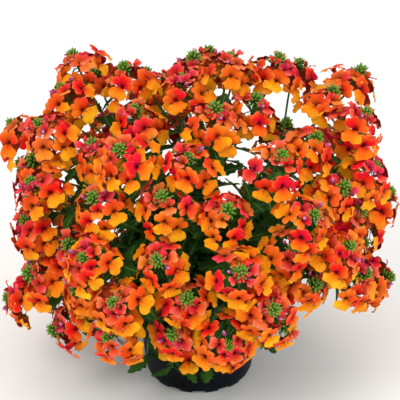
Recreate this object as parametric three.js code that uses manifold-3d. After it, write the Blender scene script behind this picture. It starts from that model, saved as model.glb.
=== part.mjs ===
// Potted nemesia. A black nursery pot holds soil, leafy stems stand in holes in the soil and fork
// through a wide mound, and each shoot carries a spray of round heads of two-lipped blooms.
// Millimetres, +Z up. The origin is the middle of the pot's underside, and the front of the plant is -Y.

import * as THREE from 'three';
import { mergeVertices } from 'three/addons/utils/BufferGeometryUtils.js';
import Module from 'manifold-3d';

const wasm = await Module();
wasm.setup();

// Driving dimensions

const gap = 0.3; // between neighbouring solids
const wholeTurn = 2 * Math.PI;
const up = new THREE.Vector3(0, 0, 1);

const pot = {
  footRadius: 47.8,
  chamferRadius: 50.8,
  chamferHeight: 7,
  wallTopRadius: 60,
  bandHeight: 84,
  rimRadius: 62,
  height: 95,
  wall: 1.6,
  floor: 2,
  facets: 24,
  notches: 12,
  notchHeight: 3,
  notchWidth: 12.5,
  notchDepth: 14,
  rimStep: 1,
  footRound: 1,
};

const soil = { height: 86, holeDepth: 24 };

// Heads stand in level tiers round the mound. Each main head has a side head halfway to the next one.
const mound = {
  seed: 122,
  hubHeight: 118, // the stems spread from this point on the pot's axis
  // Each tier is an ellipse, as wide and deep as these radii, and turned so many degrees from +X.
  // It rises by its front lift at the front, and by more at its raised places. Bare places have no spray.
  tiers: [
    { height: 91, wide: 170, deep: 154, count: 8, turn: 10, frontLift: 20, raised: { 4: 8, 5: 16, 6: 12 }, bare: [7] },
    { height: 144, wide: 172, deep: 162, count: 9, turn: 8, frontLift: 16, raised: {}, bare: [] },
    { height: 194, wide: 174, deep: 160, count: 9, turn: -2, frontLift: 8, raised: {}, bare: [] },
    { height: 244, wide: 170, deep: 150, count: 8, turn: 30, frontLift: 0, raised: { 0: 26 }, bare: [] },
    { height: 281, wide: 148, deep: 114, count: 7, turn: -12, frontLift: 0, raised: { 2: -10, 3: 16 }, bare: [1] },
    { height: 303, wide: 74, deep: 60, count: 3, turn: 35, frontLift: 0, raised: { 0: 12 }, bare: [] },
    { height: 312, wide: 30, deep: 24, count: 1, turn: 35, frontLift: 0, raised: {}, bare: [] },
  ],
  outerTiers: 3, // the tiers that the outer circle of stems serves
  outerStems: 9,
  outerShift: 0.425, // the outer stems' sectors start this share of one before +X
  innerStems: 5,
  skirtSlope: 20, // the lowest tier rises this much on one side and falls as much on the other
  skirtTurn: -35,
  sideRecess: 20,
  sideDrop: 6,
  hollowTier: 3,
  hollowDepth: 30, // this tier's main heads are set back this far at the front
  hollowHalfAngle: 0.45,
  axisLift: 0.35, // how far a head turns up from the line to the hub
  turnJitter: 0.09,
  placeJitter: 7,
  pushRounds: 60,
  pushShare: 0.3,
  leastCloseness: 0.3,
};

const heads = {
  main: { blooms: 5, ring: 20, reach: 29.5 },
  side: { blooms: 4, ring: 17.5, reach: 27 },
  halfDepth: 13,
  coreRadius: 2.4,
  coreBottom: -8,
  coreWaist: -4.5,
  budRadius: 5.2,
  budHeight: 1.5,
  budTop: 9,
  ringDrop: 2,
  turnJitter: 0.07,
  tiltJitter: 0.12,
  ringJitter: 1.2,
};

// A bloom's outline: angles in degrees from the top of the flower, and radii, for one half.
const bloom = {
  outline: [
    { angle: 24, radius: 11.2, forward: -0.6 },
    { angle: 68, radius: 11.6, forward: -0.2 },
    { angle: 112, radius: 8, forward: 0 },
    { angle: 150, radius: 14.4, forward: 1 },
  ],
  faceTilt: 0.96, // from the head's axis to the way that a bloom faces
  throatDepth: 3.2,
  neckDepth: 6,
  neckRadius: 1.3,
  clearance: 13,
};

const stem = {
  sides: 3,
  footRadius: 2.4,
  shootRadius: 1.7,
  stalkRadius: 1.3,
  outerCircle: 36, // where the outer circle of stems stands in the soil
  innerCircle: 15,
  seatShare: 0.42, // where a spray sits, from the hub to its heads
  sideShare: 0.26, // where the side stalk leaves the main one
  shootShares: [0.2, 0.36, 0.52, 0.68], // where the shoots leave the leader, lowest first
  nodeLength: 4.5,
  branchShares: [0.45, 1], // where a branch has its rings
  aimShare: 0.45, // a spray's seat lies towards this place, from its main head to its side head
  seatLift: 0.1,
  // How far a stem keeps to its direction at either end, as a share of its length
  footBend: 0.55,
  seatBend: 0.25,
  stalkBend: 0.33,
  headBend: 0.28,
  branchBend: 0.3,
  branchLean: 0.5, // how far a branch starts along its parent
};

// A leaf's outline: distance along the blade and half width, as shares of its length and half width.
const leaf = {
  outline: [
    { along: 0.22, across: 0.66 },
    { along: 0.42, across: 1 },
    { along: 0.52, across: 0.74 },
    { along: 0.72, across: 0.66 },
  ],
  crestAlong: 0.42,
  shortest: 22,
  longest: 31,
  halfWidthShare: 0.25,
  thickness: 1.6,
  sag: 0.14,
  rises: [0.55, 0.2, 0.9], // how far a leaf leans towards the tip of its stem, tried in this order
  turns: [0, 0.25, -0.25], // and how far it turns about the stem
  stalkShare: 0.62, // where a spray's leaves grow on its main stalk
  leaderShare: 0.86,
  mostAtNode: 2,
};

// Spheres that stand for the pieces when a leaf is tested for room
const beads = { core: 8, stalk: 2.2, leaf: 3.6, spacing: 4, room: 2.5, leafShares: [0.3, 0.5, 0.7, 0.9] };

// Seeded random draws

let draw = mound.seed;

function random() {
  draw = (draw * 48271) % 2147483647;
  return draw / 2147483647;
}

function spread(amount) {
  return (2 * random() - 1) * amount;
}

// Vectors

const around = (azimuth, wide, deep, height) =>
  new THREE.Vector3(wide * Math.cos(azimuth), deep * Math.sin(azimuth), height);

const between = (from, to, share) => from.clone().lerp(to, share);

const along = (from, direction, distance) => from.clone().addScaledVector(direction, distance);

const crossed = (a, b) => new THREE.Vector3().crossVectors(a, b);

const towards = (from, to) => to.clone().sub(from).normalize();

const hub = new THREE.Vector3(0, 0, mound.hubHeight);

// Plan of the heads

function makeHead(kind, tier, azimuth, recess, height) {
  const wobble = () => [spread(heads.turnJitter), spread(heads.tiltJitter), spread(heads.ringJitter)];
  return {
    ...kind,
    centre: around(azimuth, tier.wide - recess, tier.deep - recess, height),
    turn: spread(Math.PI),
    wobbles: Array.from({ length: kind.blooms }, wobble),
  };
}

function planSpray(tier, level, place) {
  const step = wholeTurn / tier.count;
  const azimuth = THREE.MathUtils.degToRad(tier.turn) + place * step + spread(mound.turnJitter);
  const skirtAngle = azimuth - THREE.MathUtils.degToRad(mound.skirtTurn);
  const slope = level === 0 ? mound.skirtSlope * Math.cos(skirtAngle) : 0;
  const atFront = -Math.sin(azimuth) > Math.cos(mound.hollowHalfAngle);
  const setBack = atFront && level === mound.hollowTier ? mound.hollowDepth : 0;
  const lift = tier.frontLift * Math.max(-Math.sin(azimuth), 0) + (tier.raised[place] ?? 0);
  const height = tier.height + slope + lift + spread(mound.placeJitter);
  const recess = setBack + spread(mound.placeJitter);
  const main = makeHead(heads.main, tier, azimuth, recess, height);
  const sideHeight = height - mound.sideDrop;
  const side = makeHead(heads.side, tier, azimuth + step / 2, mound.sideRecess, sideHeight);
  return { level, azimuth, main, side };
}

function planSprays() {
  return mound.tiers.flatMap((tier, level) => {
    const places = Array.from({ length: tier.count }, (_, place) => place);
    const grown = places.filter((place) => !tier.bare.includes(place));
    return grown.map((place) => planSpray(tier, level, place));
  });
}

function pushApart(a, b) {
  const axis = between(a.centre, b.centre, 0.5).sub(hub).normalize();
  const away = b.centre.clone().sub(a.centre);
  const depth = away.dot(axis);
  const across = Math.sqrt(Math.max(away.lengthSq() - depth * depth, 0));
  const closeness = Math.hypot(across / (a.reach + b.reach), depth / (2 * heads.halfDepth));
  if (closeness < 1) {
    away.multiplyScalar(mound.pushShare * (1 / Math.max(closeness, mound.leastCloseness) - 1));
    a.centre.sub(away);
    b.centre.add(away);
  }
}

function spaceOut(all) {
  for (let round = 0; round < mound.pushRounds; round += 1) {
    all.forEach((a, i) => all.slice(i + 1).forEach((b) => pushApart(a, b)));
  }
}

function aimFlower(head, [turnWobble, tiltWobble, ringWobble], k) {
  const angle = head.turn + (k * wholeTurn) / head.blooms + turnWobble;
  const out = along(head.east.clone().multiplyScalar(Math.cos(angle)), head.north, Math.sin(angle));
  const tilt = bloom.faceTilt + tiltWobble;
  const face = along(head.axis.clone().multiplyScalar(Math.cos(tilt)), out, Math.sin(tilt));
  const top = along(head.axis.clone().multiplyScalar(Math.sin(tilt)), out, -Math.cos(tilt));
  const centre = along(along(head.centre, out, head.ring + ringWobble), head.axis, -heads.ringDrop);
  return { angle, face, top, right: crossed(head.axis, out), centre };
}

function aimHead(head) {
  head.axis = along(towards(hub, head.centre), up, mound.axisLift).normalize();
  head.east = crossed(up, head.axis).normalize();
  head.north = crossed(head.axis, head.east);
  head.foot = along(head.centre, head.axis, heads.coreBottom);
  head.flowers = head.wobbles.map((wobble, k) => aimFlower(head, wobble, k));
}

// Plan of the stems

// A curve between two places, with its direction at each and how far it keeps to it.
function curveTo(start, startWay, startBend, end, endWay, endBend) {
  const length = start.distanceTo(end);
  return new THREE.CubicBezierCurve3(
    start,
    along(start, startWay, startBend * length),
    along(end, endWay, -endBend * length),
    end,
  );
}

// A branch leaves its parent curve at a share of its length, and turns towards its end.
function branchFrom(parent, share, end, endWay) {
  const start = parent.getPoint(share);
  const way = along(towards(start, end), parent.getTangent(share), stem.branchLean).normalize();
  return curveTo(start, way, stem.branchBend, end, endWay, stem.branchBend);
}

function planStalks(spray) {
  const reach = between(spray.main.centre, spray.side.centre, stem.aimShare).sub(hub);
  spray.reach = reach;
  spray.way = along(reach.clone().normalize(), up, stem.seatLift).normalize();
  spray.seat = along(hub, reach, stem.seatShare);
  const radii = [stem.stalkRadius, stem.stalkRadius];
  const start = along(spray.seat, spray.way, gap / 2);
  const { foot, axis } = spray.main;
  const mainCurve = curveTo(start, spray.way, stem.stalkBend, foot, axis, stem.headBend);
  const sideCurve = branchFrom(mainCurve, stem.sideShare, spray.side.foot, spray.side.axis);
  const facing = towards(sideCurve.getPoint(0), sideCurve.getPoint(1));
  const nodes = [stem.sideShare, leaf.stalkShare].map((share) => ({ share, facing }));
  spray.stalk = { curve: mainCurve, radii, nodes, rootDepth: 0 };
  spray.sideStalk = { curve: sideCurve, radii, ringFacing: mainCurve.getTangent(stem.sideShare) };
}

function stemIndex(spray) {
  const turn = (spray.azimuth / wholeTurn + 1) % 1;
  if (spray.level >= mound.outerTiers) return mound.outerStems + Math.floor(turn * mound.innerStems);
  return Math.floor(turn * mound.outerStems + mound.outerShift) % mound.outerStems;
}

function planShoot(leader, spray, share) {
  const seat = along(spray.seat, spray.way, -gap / 2);
  const curve = branchFrom(leader, share, seat, spray.way);
  const radii = [stem.shootRadius, stem.stalkRadius];
  const facing = towards(curve.getPoint(0), seat);
  return { curve, radii, share, facing, ringFacing: leader.getTangent(share) };
}

function planStem(sprays, circle) {
  const reach = sprays.reduce((sum, spray) => sum.add(spray.reach), new THREE.Vector3());
  const foot = around(Math.atan2(reach.y, reach.x), circle, circle, soil.height);
  const highest = sprays.at(-1);
  const seat = along(highest.seat, highest.way, -gap / 2);
  const curve = curveTo(foot, up, stem.footBend, seat, highest.way, stem.seatBend);
  const shoots = sprays.slice(0, -1).map((spray, i) => planShoot(curve, spray, stem.shootShares[i]));
  const nodes = [...shoots, { share: leaf.leaderShare, facing: shoots.at(-1).facing }];
  const leader = { curve, radii: [stem.footRadius, stem.stalkRadius], nodes, rootDepth: soil.holeDepth };
  return { leader, shoots };
}

function planStems(sprays) {
  return Array.from({ length: mound.outerStems + mound.innerStems }, (_, index) => {
    const circle = index < mound.outerStems ? stem.outerCircle : stem.innerCircle;
    return planStem(sprays.filter((spray) => stemIndex(spray) === index), circle);
  });
}

// A frame across a stem, which has a corner on the side away from the facing direction.
function frameAt(curve, { share, facing }) {
  const way = curve.getTangent(share);
  const normal = facing.clone().negate().projectOnPlane(way).normalize();
  return { share, centre: curve.getPoint(share), way, normal, binormal: crossed(way, normal) };
}

// Plan of the leaves

function curveBeads({ curve }) {
  const count = Math.ceil(curve.getLength() / beads.spacing);
  return curve.getPoints(count).map((at) => ({ at, radius: beads.stalk, curve }));
}

function headBeads(head) {
  const flowers = head.flowers.map((flower) => ({ at: flower.centre, radius: bloom.clearance }));
  return [{ at: head.centre, radius: beads.core }, ...flowers];
}

function leafBeads(one) {
  return beads.leafShares.map((share) => ({ at: leafPoint(one, share, 0, 0), radius: beads.leaf }));
}

function hasRoom(one, taken, curve) {
  const others = taken.filter((bead) => bead.curve !== curve);
  return leafBeads(one).every((bead) =>
    others.every((other) => bead.at.distanceTo(other.at) > bead.radius + other.radius + beads.room),
  );
}

function leafAt(frame, length, turn, rise) {
  const out = frame.normal.clone().applyAxisAngle(frame.way, turn);
  const blade = along(out, frame.way, rise).normalize();
  const across = crossed(frame.way, out).normalize();
  return { share: frame.share, base: frame.centre, blade, across, face: crossed(blade, across), length };
}

function leafPoint(one, share, across, lift) {
  const point = along(one.base, one.blade, share * one.length);
  point.addScaledVector(one.across, across * one.length * leaf.halfWidthShare);
  return point.addScaledVector(one.face, lift - leaf.sag * one.length * share * share);
}

// The leaves at a node grow from the sides of the stem where they have room.
function leavesAt(curve, node, taken) {
  const frame = frameAt(curve, node);
  const found = [];
  for (let side = 0; side < stem.sides; side += 1) {
    const length = leaf.shortest + random() * (leaf.longest - leaf.shortest);
    const middle = ((side + 0.5) * wholeTurn) / stem.sides;
    const options = leaf.rises.flatMap((rise) =>
      leaf.turns.map((turn) => leafAt(frame, length, middle + turn, rise)),
    );
    const clear = found.length < leaf.mostAtNode && options.find((option) => hasRoom(option, taken, curve));
    if (clear) {
      found.push(clear);
      taken.push(...leafBeads(clear));
    }
  }
  return found;
}

function planLeaves(sprays, stems) {
  const taken = [
    ...sprays.flatMap((spray) => [...headBeads(spray.main), ...headBeads(spray.side)]),
    ...sprays.flatMap((spray) => [...curveBeads(spray.stalk), ...curveBeads(spray.sideStalk)]),
    ...stems.flatMap((one) => [one.leader, ...one.shoots].flatMap(curveBeads)),
  ];
  sprays.forEach((spray) => {
    spray.leaves = leavesAt(spray.stalk.curve, spray.stalk.nodes.at(-1), taken);
  });
  stems.forEach((one) => {
    one.leaves = leavesAt(one.leader.curve, one.leader.nodes.at(-1), taken);
  });
}

// Shells: rings of points joined into closed surfaces

const aheadWeight = 0.02;

class Shell {
  constructor() {
    this.points = [];
    this.faces = [];
  }

  ring(points) {
    return points.map((point) => this.points.push(point) - 1);
  }

  // Joins a ring to the next one, which may have another number of points.
  band(lower, upper) {
    const start = this.faces.length;
    let i = 0;
    let j = 0;
    while (i < lower.length || j < upper.length) {
      const a = lower[i % lower.length];
      const b = upper[j % upper.length];
      if ((i + 1) / lower.length <= (j + 1) / upper.length) {
        i += 1;
        this.faces.push([a, lower[i % lower.length], b]);
      } else {
        j += 1;
        this.faces.push([a, upper[j % upper.length], b]);
      }
    }
    return this.faces.slice(start);
  }

  fan(ring, tip) {
    const [end] = this.ring([tip]);
    ring.forEach((point, i) => this.faces.push([point, ring[(i + 1) % ring.length], end]));
  }

  cap(ring) {
    for (let i = 1; i < ring.length - 1; i += 1) this.faces.push([ring[0], ring[i], ring[i + 1]]);
  }

  // Opens the one of some faces that looks most in a direction, for a branch to grow from its corners.
  // Of two that look the same way, it is the one further back.
  open(faces, direction) {
    const closed = faces.filter((face) => this.faces.includes(face));
    const scores = closed.map((face) => {
      const triangle = new THREE.Triangle(...face.map((index) => this.points[index]));
      const ahead = triangle.getMidpoint(new THREE.Vector3()).dot(direction);
      return triangle.getNormal(new THREE.Vector3()).dot(direction) - aheadWeight * ahead;
    });
    const chosen = closed[scores.indexOf(Math.max(...scores))];
    this.faces.splice(this.faces.indexOf(chosen), 1);
    return chosen;
  }

  // The ring's list, turned so that its points lie nearest to the matching points of another ring.
  aligned(ring, other) {
    const turned = ring.map((_, start) => [...ring.slice(start), ...ring.slice(0, start)]);
    const match = (i) => this.points[other[Math.floor((i * other.length) / ring.length)]];
    const distances = turned.map((list) =>
      list.reduce((sum, index, i) => sum + this.points[index].distanceTo(match(i)), 0),
    );
    return turned[distances.indexOf(Math.min(...distances))];
  }

  solid() {
    return solidOf(new THREE.BufferGeometry().setFromPoints(this.points).setIndex(this.faces.flat()));
  }
}

function solidOf(geometry) {
  geometry.deleteAttribute('normal');
  geometry.deleteAttribute('uv');
  const merged = mergeVertices(geometry, 1e-4);
  const vertProperties = new Float32Array(merged.attributes.position.array);
  const triVerts = new Uint32Array(merged.index.array);
  return new wasm.Manifold(new wasm.Mesh({ numProp: 3, vertProperties, triVerts }));
}

function geometryOf(solid) {
  const mesh = solid.getMesh();
  const geometry = new THREE.BufferGeometry();
  geometry.setAttribute('position', new THREE.BufferAttribute(mesh.vertProperties, 3));
  geometry.setIndex(new THREE.BufferAttribute(mesh.triVerts, 1));
  geometry.computeVertexNormals();
  return geometry;
}

// Stalks: three-sided tubes along a curve

function tubeRings(curve, stations, radii) {
  return stations.map((station) => {
    const { centre, normal, binormal } = frameAt(curve, station);
    const radius = THREE.MathUtils.lerp(radii[0], radii[1], station.share);
    return Array.from({ length: stem.sides }, (_, side) => {
      const angle = (side * wholeTurn) / stem.sides;
      return along(along(centre, normal, radius * Math.cos(angle)), binormal, radius * Math.sin(angle));
    });
  });
}

// A tube from a closed foot, with a short length at each node. Gives its last ring and the nodes' faces.
function addStalk(shell, { curve, radii, nodes, rootDepth }) {
  const nodeShare = stem.nodeLength / curve.getLength();
  const short = nodes.flatMap((node) => [node, { ...node, share: node.share + nodeShare }]);
  const stations = [{ ...nodes[0], share: 0 }, ...short, { ...nodes.at(-1), share: 1 }];
  const rings = tubeRings(curve, stations, radii);
  if (rootDepth > 0) rings.unshift(rings[0].map((point) => along(point, up, -rootDepth)));
  const indexed = rings.map((ring) => shell.ring(ring));
  for (let i = 1; i < indexed.length; i += 1) indexed[i] = shell.aligned(indexed[i], indexed[i - 1]);
  shell.cap(indexed[0].toReversed());
  const bands = indexed.slice(1).map((ring, i) => shell.band(indexed[i], ring));
  const first = rootDepth > 0 ? 2 : 1;
  return { end: indexed.at(-1), nodeFaces: nodes.map((_, i) => bands[first + 2 * i]) };
}

// A tube that grows out of an opened face of its parent. Gives its last ring.
function addBranch(shell, { curve, radii, ringFacing }, faces) {
  const root = shell.open(faces, towards(curve.getPoint(0), curve.getPoint(0.5)));
  const stations = stem.branchShares.map((share) => ({ share, facing: ringFacing }));
  const [middle, end] = tubeRings(curve, stations, radii).map((ring) => shell.ring(ring));
  shell.band(shell.aligned(root, middle), middle);
  shell.band(middle, end);
  return end;
}

// A leaf grows from an opened face: the loops of its upper and lower side share the toothed outline.
function addLeaf(shell, faces, one) {
  const root = shell.open(faces, one.blade);
  const acrossOf = (index) => shell.points[index].clone().sub(one.base).dot(one.across);
  const [left, middle, right] = root.toSorted((a, b) => acrossOf(a) - acrossOf(b));
  const edge = (sign) =>
    shell.ring(leaf.outline.map((spot) => leafPoint(one, spot.along, sign * spot.across, 0)));
  const tip = shell.ring([leafPoint(one, 1, 0, 0)]);
  const outline = [left, ...edge(-1), ...tip, ...edge(1).toReversed(), right];
  const middleIsAbove = root[(root.indexOf(left) + 1) % 3] === right;
  const upper = middleIsAbove ? [...outline, middle] : outline;
  const lower = middleIsAbove ? outline.toReversed() : [...outline.toReversed(), middle];
  shell.fan(upper, leafPoint(one, leaf.crestAlong, 0, leaf.thickness / 2));
  shell.fan(lower, leafPoint(one, leaf.crestAlong, 0, -leaf.thickness / 2));
}

// Heads: a core of buds at the end of a stalk, with a stalked bloom on every second face of its side

function coreRing(shell, head, turn, radius, height) {
  const centre = along(head.centre, head.axis, height);
  return shell.ring(
    head.flowers.map(({ angle }) => {
      const east = along(centre, head.east, radius * Math.cos(angle + turn));
      return along(east, head.north, radius * Math.sin(angle + turn));
    }),
  );
}

function rimPoint(flower, side, { angle, radius, forward }) {
  const turn = THREE.MathUtils.degToRad(angle);
  const point = along(flower.centre, flower.top, radius * Math.cos(turn));
  point.addScaledVector(flower.right, side * radius * Math.sin(turn));
  return point.addScaledVector(flower.face, forward);
}

function addBloom(shell, flower, root) {
  const neckCentre = along(flower.centre, flower.face, -bloom.neckDepth);
  const neckAngles = [-Math.PI / 6, Math.PI / 2, (7 * Math.PI) / 6];
  const neck = shell.ring(
    neckAngles.map((angle) => {
      const point = along(neckCentre, flower.right, bloom.neckRadius * Math.cos(angle));
      return along(point, flower.top, bloom.neckRadius * Math.sin(angle));
    }),
  );
  const right = bloom.outline.toReversed().map((spot) => rimPoint(flower, 1, spot));
  const left = bloom.outline.map((spot) => rimPoint(flower, -1, spot));
  const rim = shell.ring([...right, ...left]);
  shell.band(root, neck);
  shell.band(neck, rim);
  shell.fan(rim, along(flower.centre, flower.face, -bloom.throatDepth));
}

function addHead(shell, head, stalkEnd) {
  const waist = coreRing(shell, head, -Math.PI / head.blooms, heads.coreRadius, heads.coreWaist);
  const buds = coreRing(shell, head, 0, heads.budRadius, heads.budHeight);
  shell.band(shell.aligned(stalkEnd, waist), waist);
  head.flowers.forEach((flower, k) => {
    const next = (k + 1) % head.blooms;
    addBloom(shell, flower, [waist[next], buds[k], waist[k]]);
    shell.faces.push([waist[next], buds[next], buds[k]]);
  });
  shell.fan(buds, along(head.centre, head.axis, heads.budTop));
}

function spraySolid(spray) {
  const shell = new Shell();
  const { end, nodeFaces } = addStalk(shell, spray.stalk);
  addHead(shell, spray.main, end);
  addHead(shell, spray.side, addBranch(shell, spray.sideStalk, nodeFaces[0]));
  spray.leaves.forEach((one) => addLeaf(shell, nodeFaces[1], one));
  return shell.solid();
}

// Leafy stems

function stemSolid({ leader, shoots, leaves }) {
  const shell = new Shell();
  const { end, nodeFaces } = addStalk(shell, leader);
  shell.cap(end);
  shoots.forEach((shoot, i) => shell.cap(addBranch(shell, shoot, nodeFaces[i])));
  leaves.forEach((one) => addLeaf(shell, nodeFaces.at(-1), one));
  return shell.solid();
}

// Pot and soil

function lathe(profile) {
  const points = profile.map(([radius, height]) => new THREE.Vector2(radius, height));
  const geometry = new THREE.LatheGeometry(points, pot.facets, Math.PI / pot.facets);
  return solidOf(geometry.rotateX(Math.PI / 2));
}

function potSolid() {
  const profile = [
    [0, 0],
    [pot.footRadius, 0],
    [pot.chamferRadius, pot.chamferHeight],
    [pot.wallTopRadius, pot.bandHeight],
    [pot.rimRadius, pot.bandHeight + pot.rimStep],
    [pot.rimRadius, pot.height],
    [pot.rimRadius - pot.wall, pot.height],
    [pot.wallTopRadius - pot.wall, pot.bandHeight],
    [pot.chamferRadius - pot.wall, pot.chamferHeight],
    [pot.footRadius - pot.wall - pot.footRound, pot.floor],
    [0, pot.floor],
  ];
  let solid = lathe(profile);
  for (let k = 0; k < pot.notches; k += 1) {
    const notch = new THREE.BoxGeometry(pot.notchDepth, pot.notchWidth, 2 * pot.notchHeight);
    notch.translate(pot.footRadius, 0, 0);
    notch.rotateZ(Math.PI / 2 + (k * wholeTurn) / pot.notches);
    solid = solid.subtract(solidOf(notch));
  }
  return solid;
}

// The hole for a stem follows the stem, with its sides a gap away.
function holeSolid({ leader }) {
  const shell = new Shell();
  const radii = leader.radii.map((radius) => radius + 2 * gap);
  const { end } = addStalk(shell, { ...leader, radii, rootDepth: soil.holeDepth + gap });
  shell.cap(end);
  return shell.solid();
}

function soilSolid(stems) {
  const clear = pot.wall + gap;
  const wallSlope = (pot.wallTopRadius - pot.chamferRadius) / (pot.bandHeight - pot.chamferHeight);
  const topRadius = pot.chamferRadius - clear + wallSlope * (soil.height - pot.chamferHeight);
  const filling = lathe([
    [0, pot.floor + gap],
    [pot.footRadius - clear - pot.footRound - gap, pot.floor + gap],
    [pot.chamferRadius - clear, pot.chamferHeight + gap],
    [topRadius, soil.height],
    [0, soil.height],
  ]);
  return stems.reduce((solid, one) => solid.subtract(holeSolid(one)), filling);
}

// Materials

const potPlastic = new THREE.MeshStandardMaterial({ color: 0x10151c, roughness: 0.45, metalness: 0 });
const pottingSoil = new THREE.MeshStandardMaterial({ color: 0x2a1d14, roughness: 0.95, metalness: 0 });
const stemGreen = new THREE.MeshStandardMaterial({ color: 0x2c5a1e, roughness: 0.6, metalness: 0 });
const petalOrange = new THREE.MeshStandardMaterial({ color: 0xf76a1c, roughness: 0.55, metalness: 0 });

// Assembly

const sprays = planSprays();
const allHeads = sprays.flatMap((spray) => [spray.main, spray.side]);
spaceOut(allHeads);
allHeads.forEach(aimHead);
sprays.forEach(planStalks);
const stems = planStems(sprays);
planLeaves(sprays, stems);

const plant = new THREE.Group();

function place(name, solid, material) {
  const mesh = new THREE.Mesh(geometryOf(solid), material);
  mesh.name = name;
  plant.add(mesh);
}

const numbered = (name, index) => `${name}_${String(index + 1).padStart(2, '0')}`;

place('pot', potSolid(), potPlastic);
place('soil', soilSolid(stems), pottingSoil);
stems.forEach((one, index) => place(numbered('leafy_stem', index), stemSolid(one), stemGreen));
sprays.forEach((spray, index) => place(numbered('flower_spray', index), spraySolid(spray), petalOrange));

export default plant;
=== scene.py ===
# Potted nemesia: the looks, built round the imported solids.
# The plant is planned by the same seeded rule as its solids, in millimetres, and made in metres.

import math
import random
from functools import partial
import bpy
import numpy as np
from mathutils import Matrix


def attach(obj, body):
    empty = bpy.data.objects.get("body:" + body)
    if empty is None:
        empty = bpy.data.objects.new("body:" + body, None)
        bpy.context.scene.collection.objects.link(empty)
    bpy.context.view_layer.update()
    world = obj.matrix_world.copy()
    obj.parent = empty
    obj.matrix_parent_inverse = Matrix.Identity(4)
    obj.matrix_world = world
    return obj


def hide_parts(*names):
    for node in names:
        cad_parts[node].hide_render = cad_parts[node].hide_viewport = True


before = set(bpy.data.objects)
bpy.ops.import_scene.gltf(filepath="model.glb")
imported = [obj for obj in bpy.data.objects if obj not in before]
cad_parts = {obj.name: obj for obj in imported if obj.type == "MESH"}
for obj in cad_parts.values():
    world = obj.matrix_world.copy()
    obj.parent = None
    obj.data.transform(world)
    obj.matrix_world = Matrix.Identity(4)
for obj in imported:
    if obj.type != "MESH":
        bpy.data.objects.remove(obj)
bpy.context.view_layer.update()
print("frame loaded:", len(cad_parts), "nodes")

metresPerMm = 0.001
wholeTurn = 2 * math.pi
gap = 0.3  # between a spray and the shoot that carries it
up = np.array([0.0, 0.0, 1.0])

# The plan: where the heads, stems and leaves are, as the solids have them

mound = {
    "seed": 122,
    "hubHeight": 118,  # the stems spread from this point on the pot's axis
    # Height, half width, half depth, sprays, turn, lift at the front, and the lift of single places
    "tiers": [
        (91, 170, 154, 8, 10, 20, {4: 8, 5: 16, 6: 12}),
        (144, 172, 162, 9, 8, 16, {}),
        (194, 174, 160, 9, -2, 8, {}),
        (244, 170, 150, 8, 30, 0, {0: 26}),
        (281, 148, 114, 7, -12, 0, {2: -10, 3: 16}),
        (303, 74, 60, 3, 35, 0, {0: 12}),
        (312, 30, 24, 1, 35, 0, {}),
    ],
    "bare": [(0, 7), (4, 1)],  # the tier and place of each that has no spray
    "outerTiers": 3,
    "outerStems": 9,
    "outerShift": 0.425,
    "innerStems": 5,
    "skirtSlope": 20,
    "skirtTurn": -35,
    "sideRecess": 20,
    "sideDrop": 6,
    "hollowTier": 3,
    "hollowDepth": 30,
    "hollowHalfAngle": 0.45,
    "axisLift": 0.35,
    "turnJitter": 0.09,
    "placeJitter": 7,
    "pushRounds": 60,
    "pushShare": 0.3,
    "leastCloseness": 0.3,
}

heads = {
    "main": {"blooms": 5, "ring": 20, "reach": 29.5},
    "side": {"blooms": 4, "ring": 17.5, "reach": 27},
    "halfDepth": 13,
    "coreBottom": -8,
    "ringDrop": 2,
    "jitters": (0.07, 0.12, 1.2),  # of a bloom's turn, tilt and ring
    "faceTilt": 0.96,
    "clearance": 13,
}

stemPlan = {
    "sides": 3,
    "outerCircle": 36,
    "innerCircle": 15,
    "soilHeight": 86,
    "seatShare": 0.42,
    "sideShare": 0.26,
    "shootShares": [0.2, 0.36, 0.52, 0.68],
    "aimShare": 0.45,
    "seatLift": 0.1,
    "footBend": 0.55,
    "seatBend": 0.25,
    "stalkBend": 0.33,
    "headBend": 0.28,
    "branchBend": 0.3,
    "branchLean": 0.5,
}

leafPlan = {
    "shortest": 22,
    "longest": 31,
    "halfWidthShare": 0.25,
    "sag": 0.14,
    "rises": [0.55, 0.2, 0.9],
    "turns": [0, 0.25, -0.25],
    "stalkShare": 0.62,
    "leaderShare": 0.86,
    "mostAtNode": 2,
}

# The room that each takes when the leaves of the solids look for a free place
beads = {
    "core": 8,
    "stalk": 2.2,
    "leaf": 3.6,
    "spacing": 4,
    "room": 2.5,
    "leafShares": [0.3, 0.5, 0.7, 0.9],
}


def seededDraws(value, factor=48271, modulus=2147483647):
    while True:
        value = value * factor % modulus
        yield value / modulus


planDraws = seededDraws(mound["seed"])


def spread(amount):
    return (2 * next(planDraws) - 1) * amount


def unit(vector):
    return vector / math.sqrt(vector @ vector)


def towards(start, end):
    return unit(end - start)


def around(azimuth, wide, deep, height):
    return np.array([wide * math.cos(azimuth), deep * math.sin(azimuth), height])


# The first direction turned towards the second, which is square to it
def turned(first, second, angle):
    return first * math.cos(angle) + second * math.sin(angle)


# A direction square to another
def besideOf(direction):
    return unit(np.cross(direction, up if abs(direction[2]) < 0.9 else np.array([1.0, 0.0, 0.0])))


hub = np.array([0.0, 0.0, mound["hubHeight"]])


# A curve between two places, with its direction at each and how far it keeps to it
class StemCurve:
    def __init__(self, start, startWay, startBend, end, endWay, endBend):
        length = np.linalg.norm(end - start)
        inner = [start + startWay * startBend * length, end - endWay * endBend * length]
        self.corners = np.array([start, *inner, end])

    def at(self, share):
        rest = 1 - share
        weights = [rest**3, 3 * rest * rest * share, 3 * rest * share * share, share**3]
        return np.array(weights) @ self.corners

    def way(self, share):
        return towards(self.at(max(share - 1e-4, 0)), self.at(min(share + 1e-4, 1)))

    def spots(self, count):
        return np.array([self.at(k / count) for k in range(count + 1)])

    def length(self):
        return np.linalg.norm(np.diff(self.spots(200), axis=0), axis=1).sum()


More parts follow.
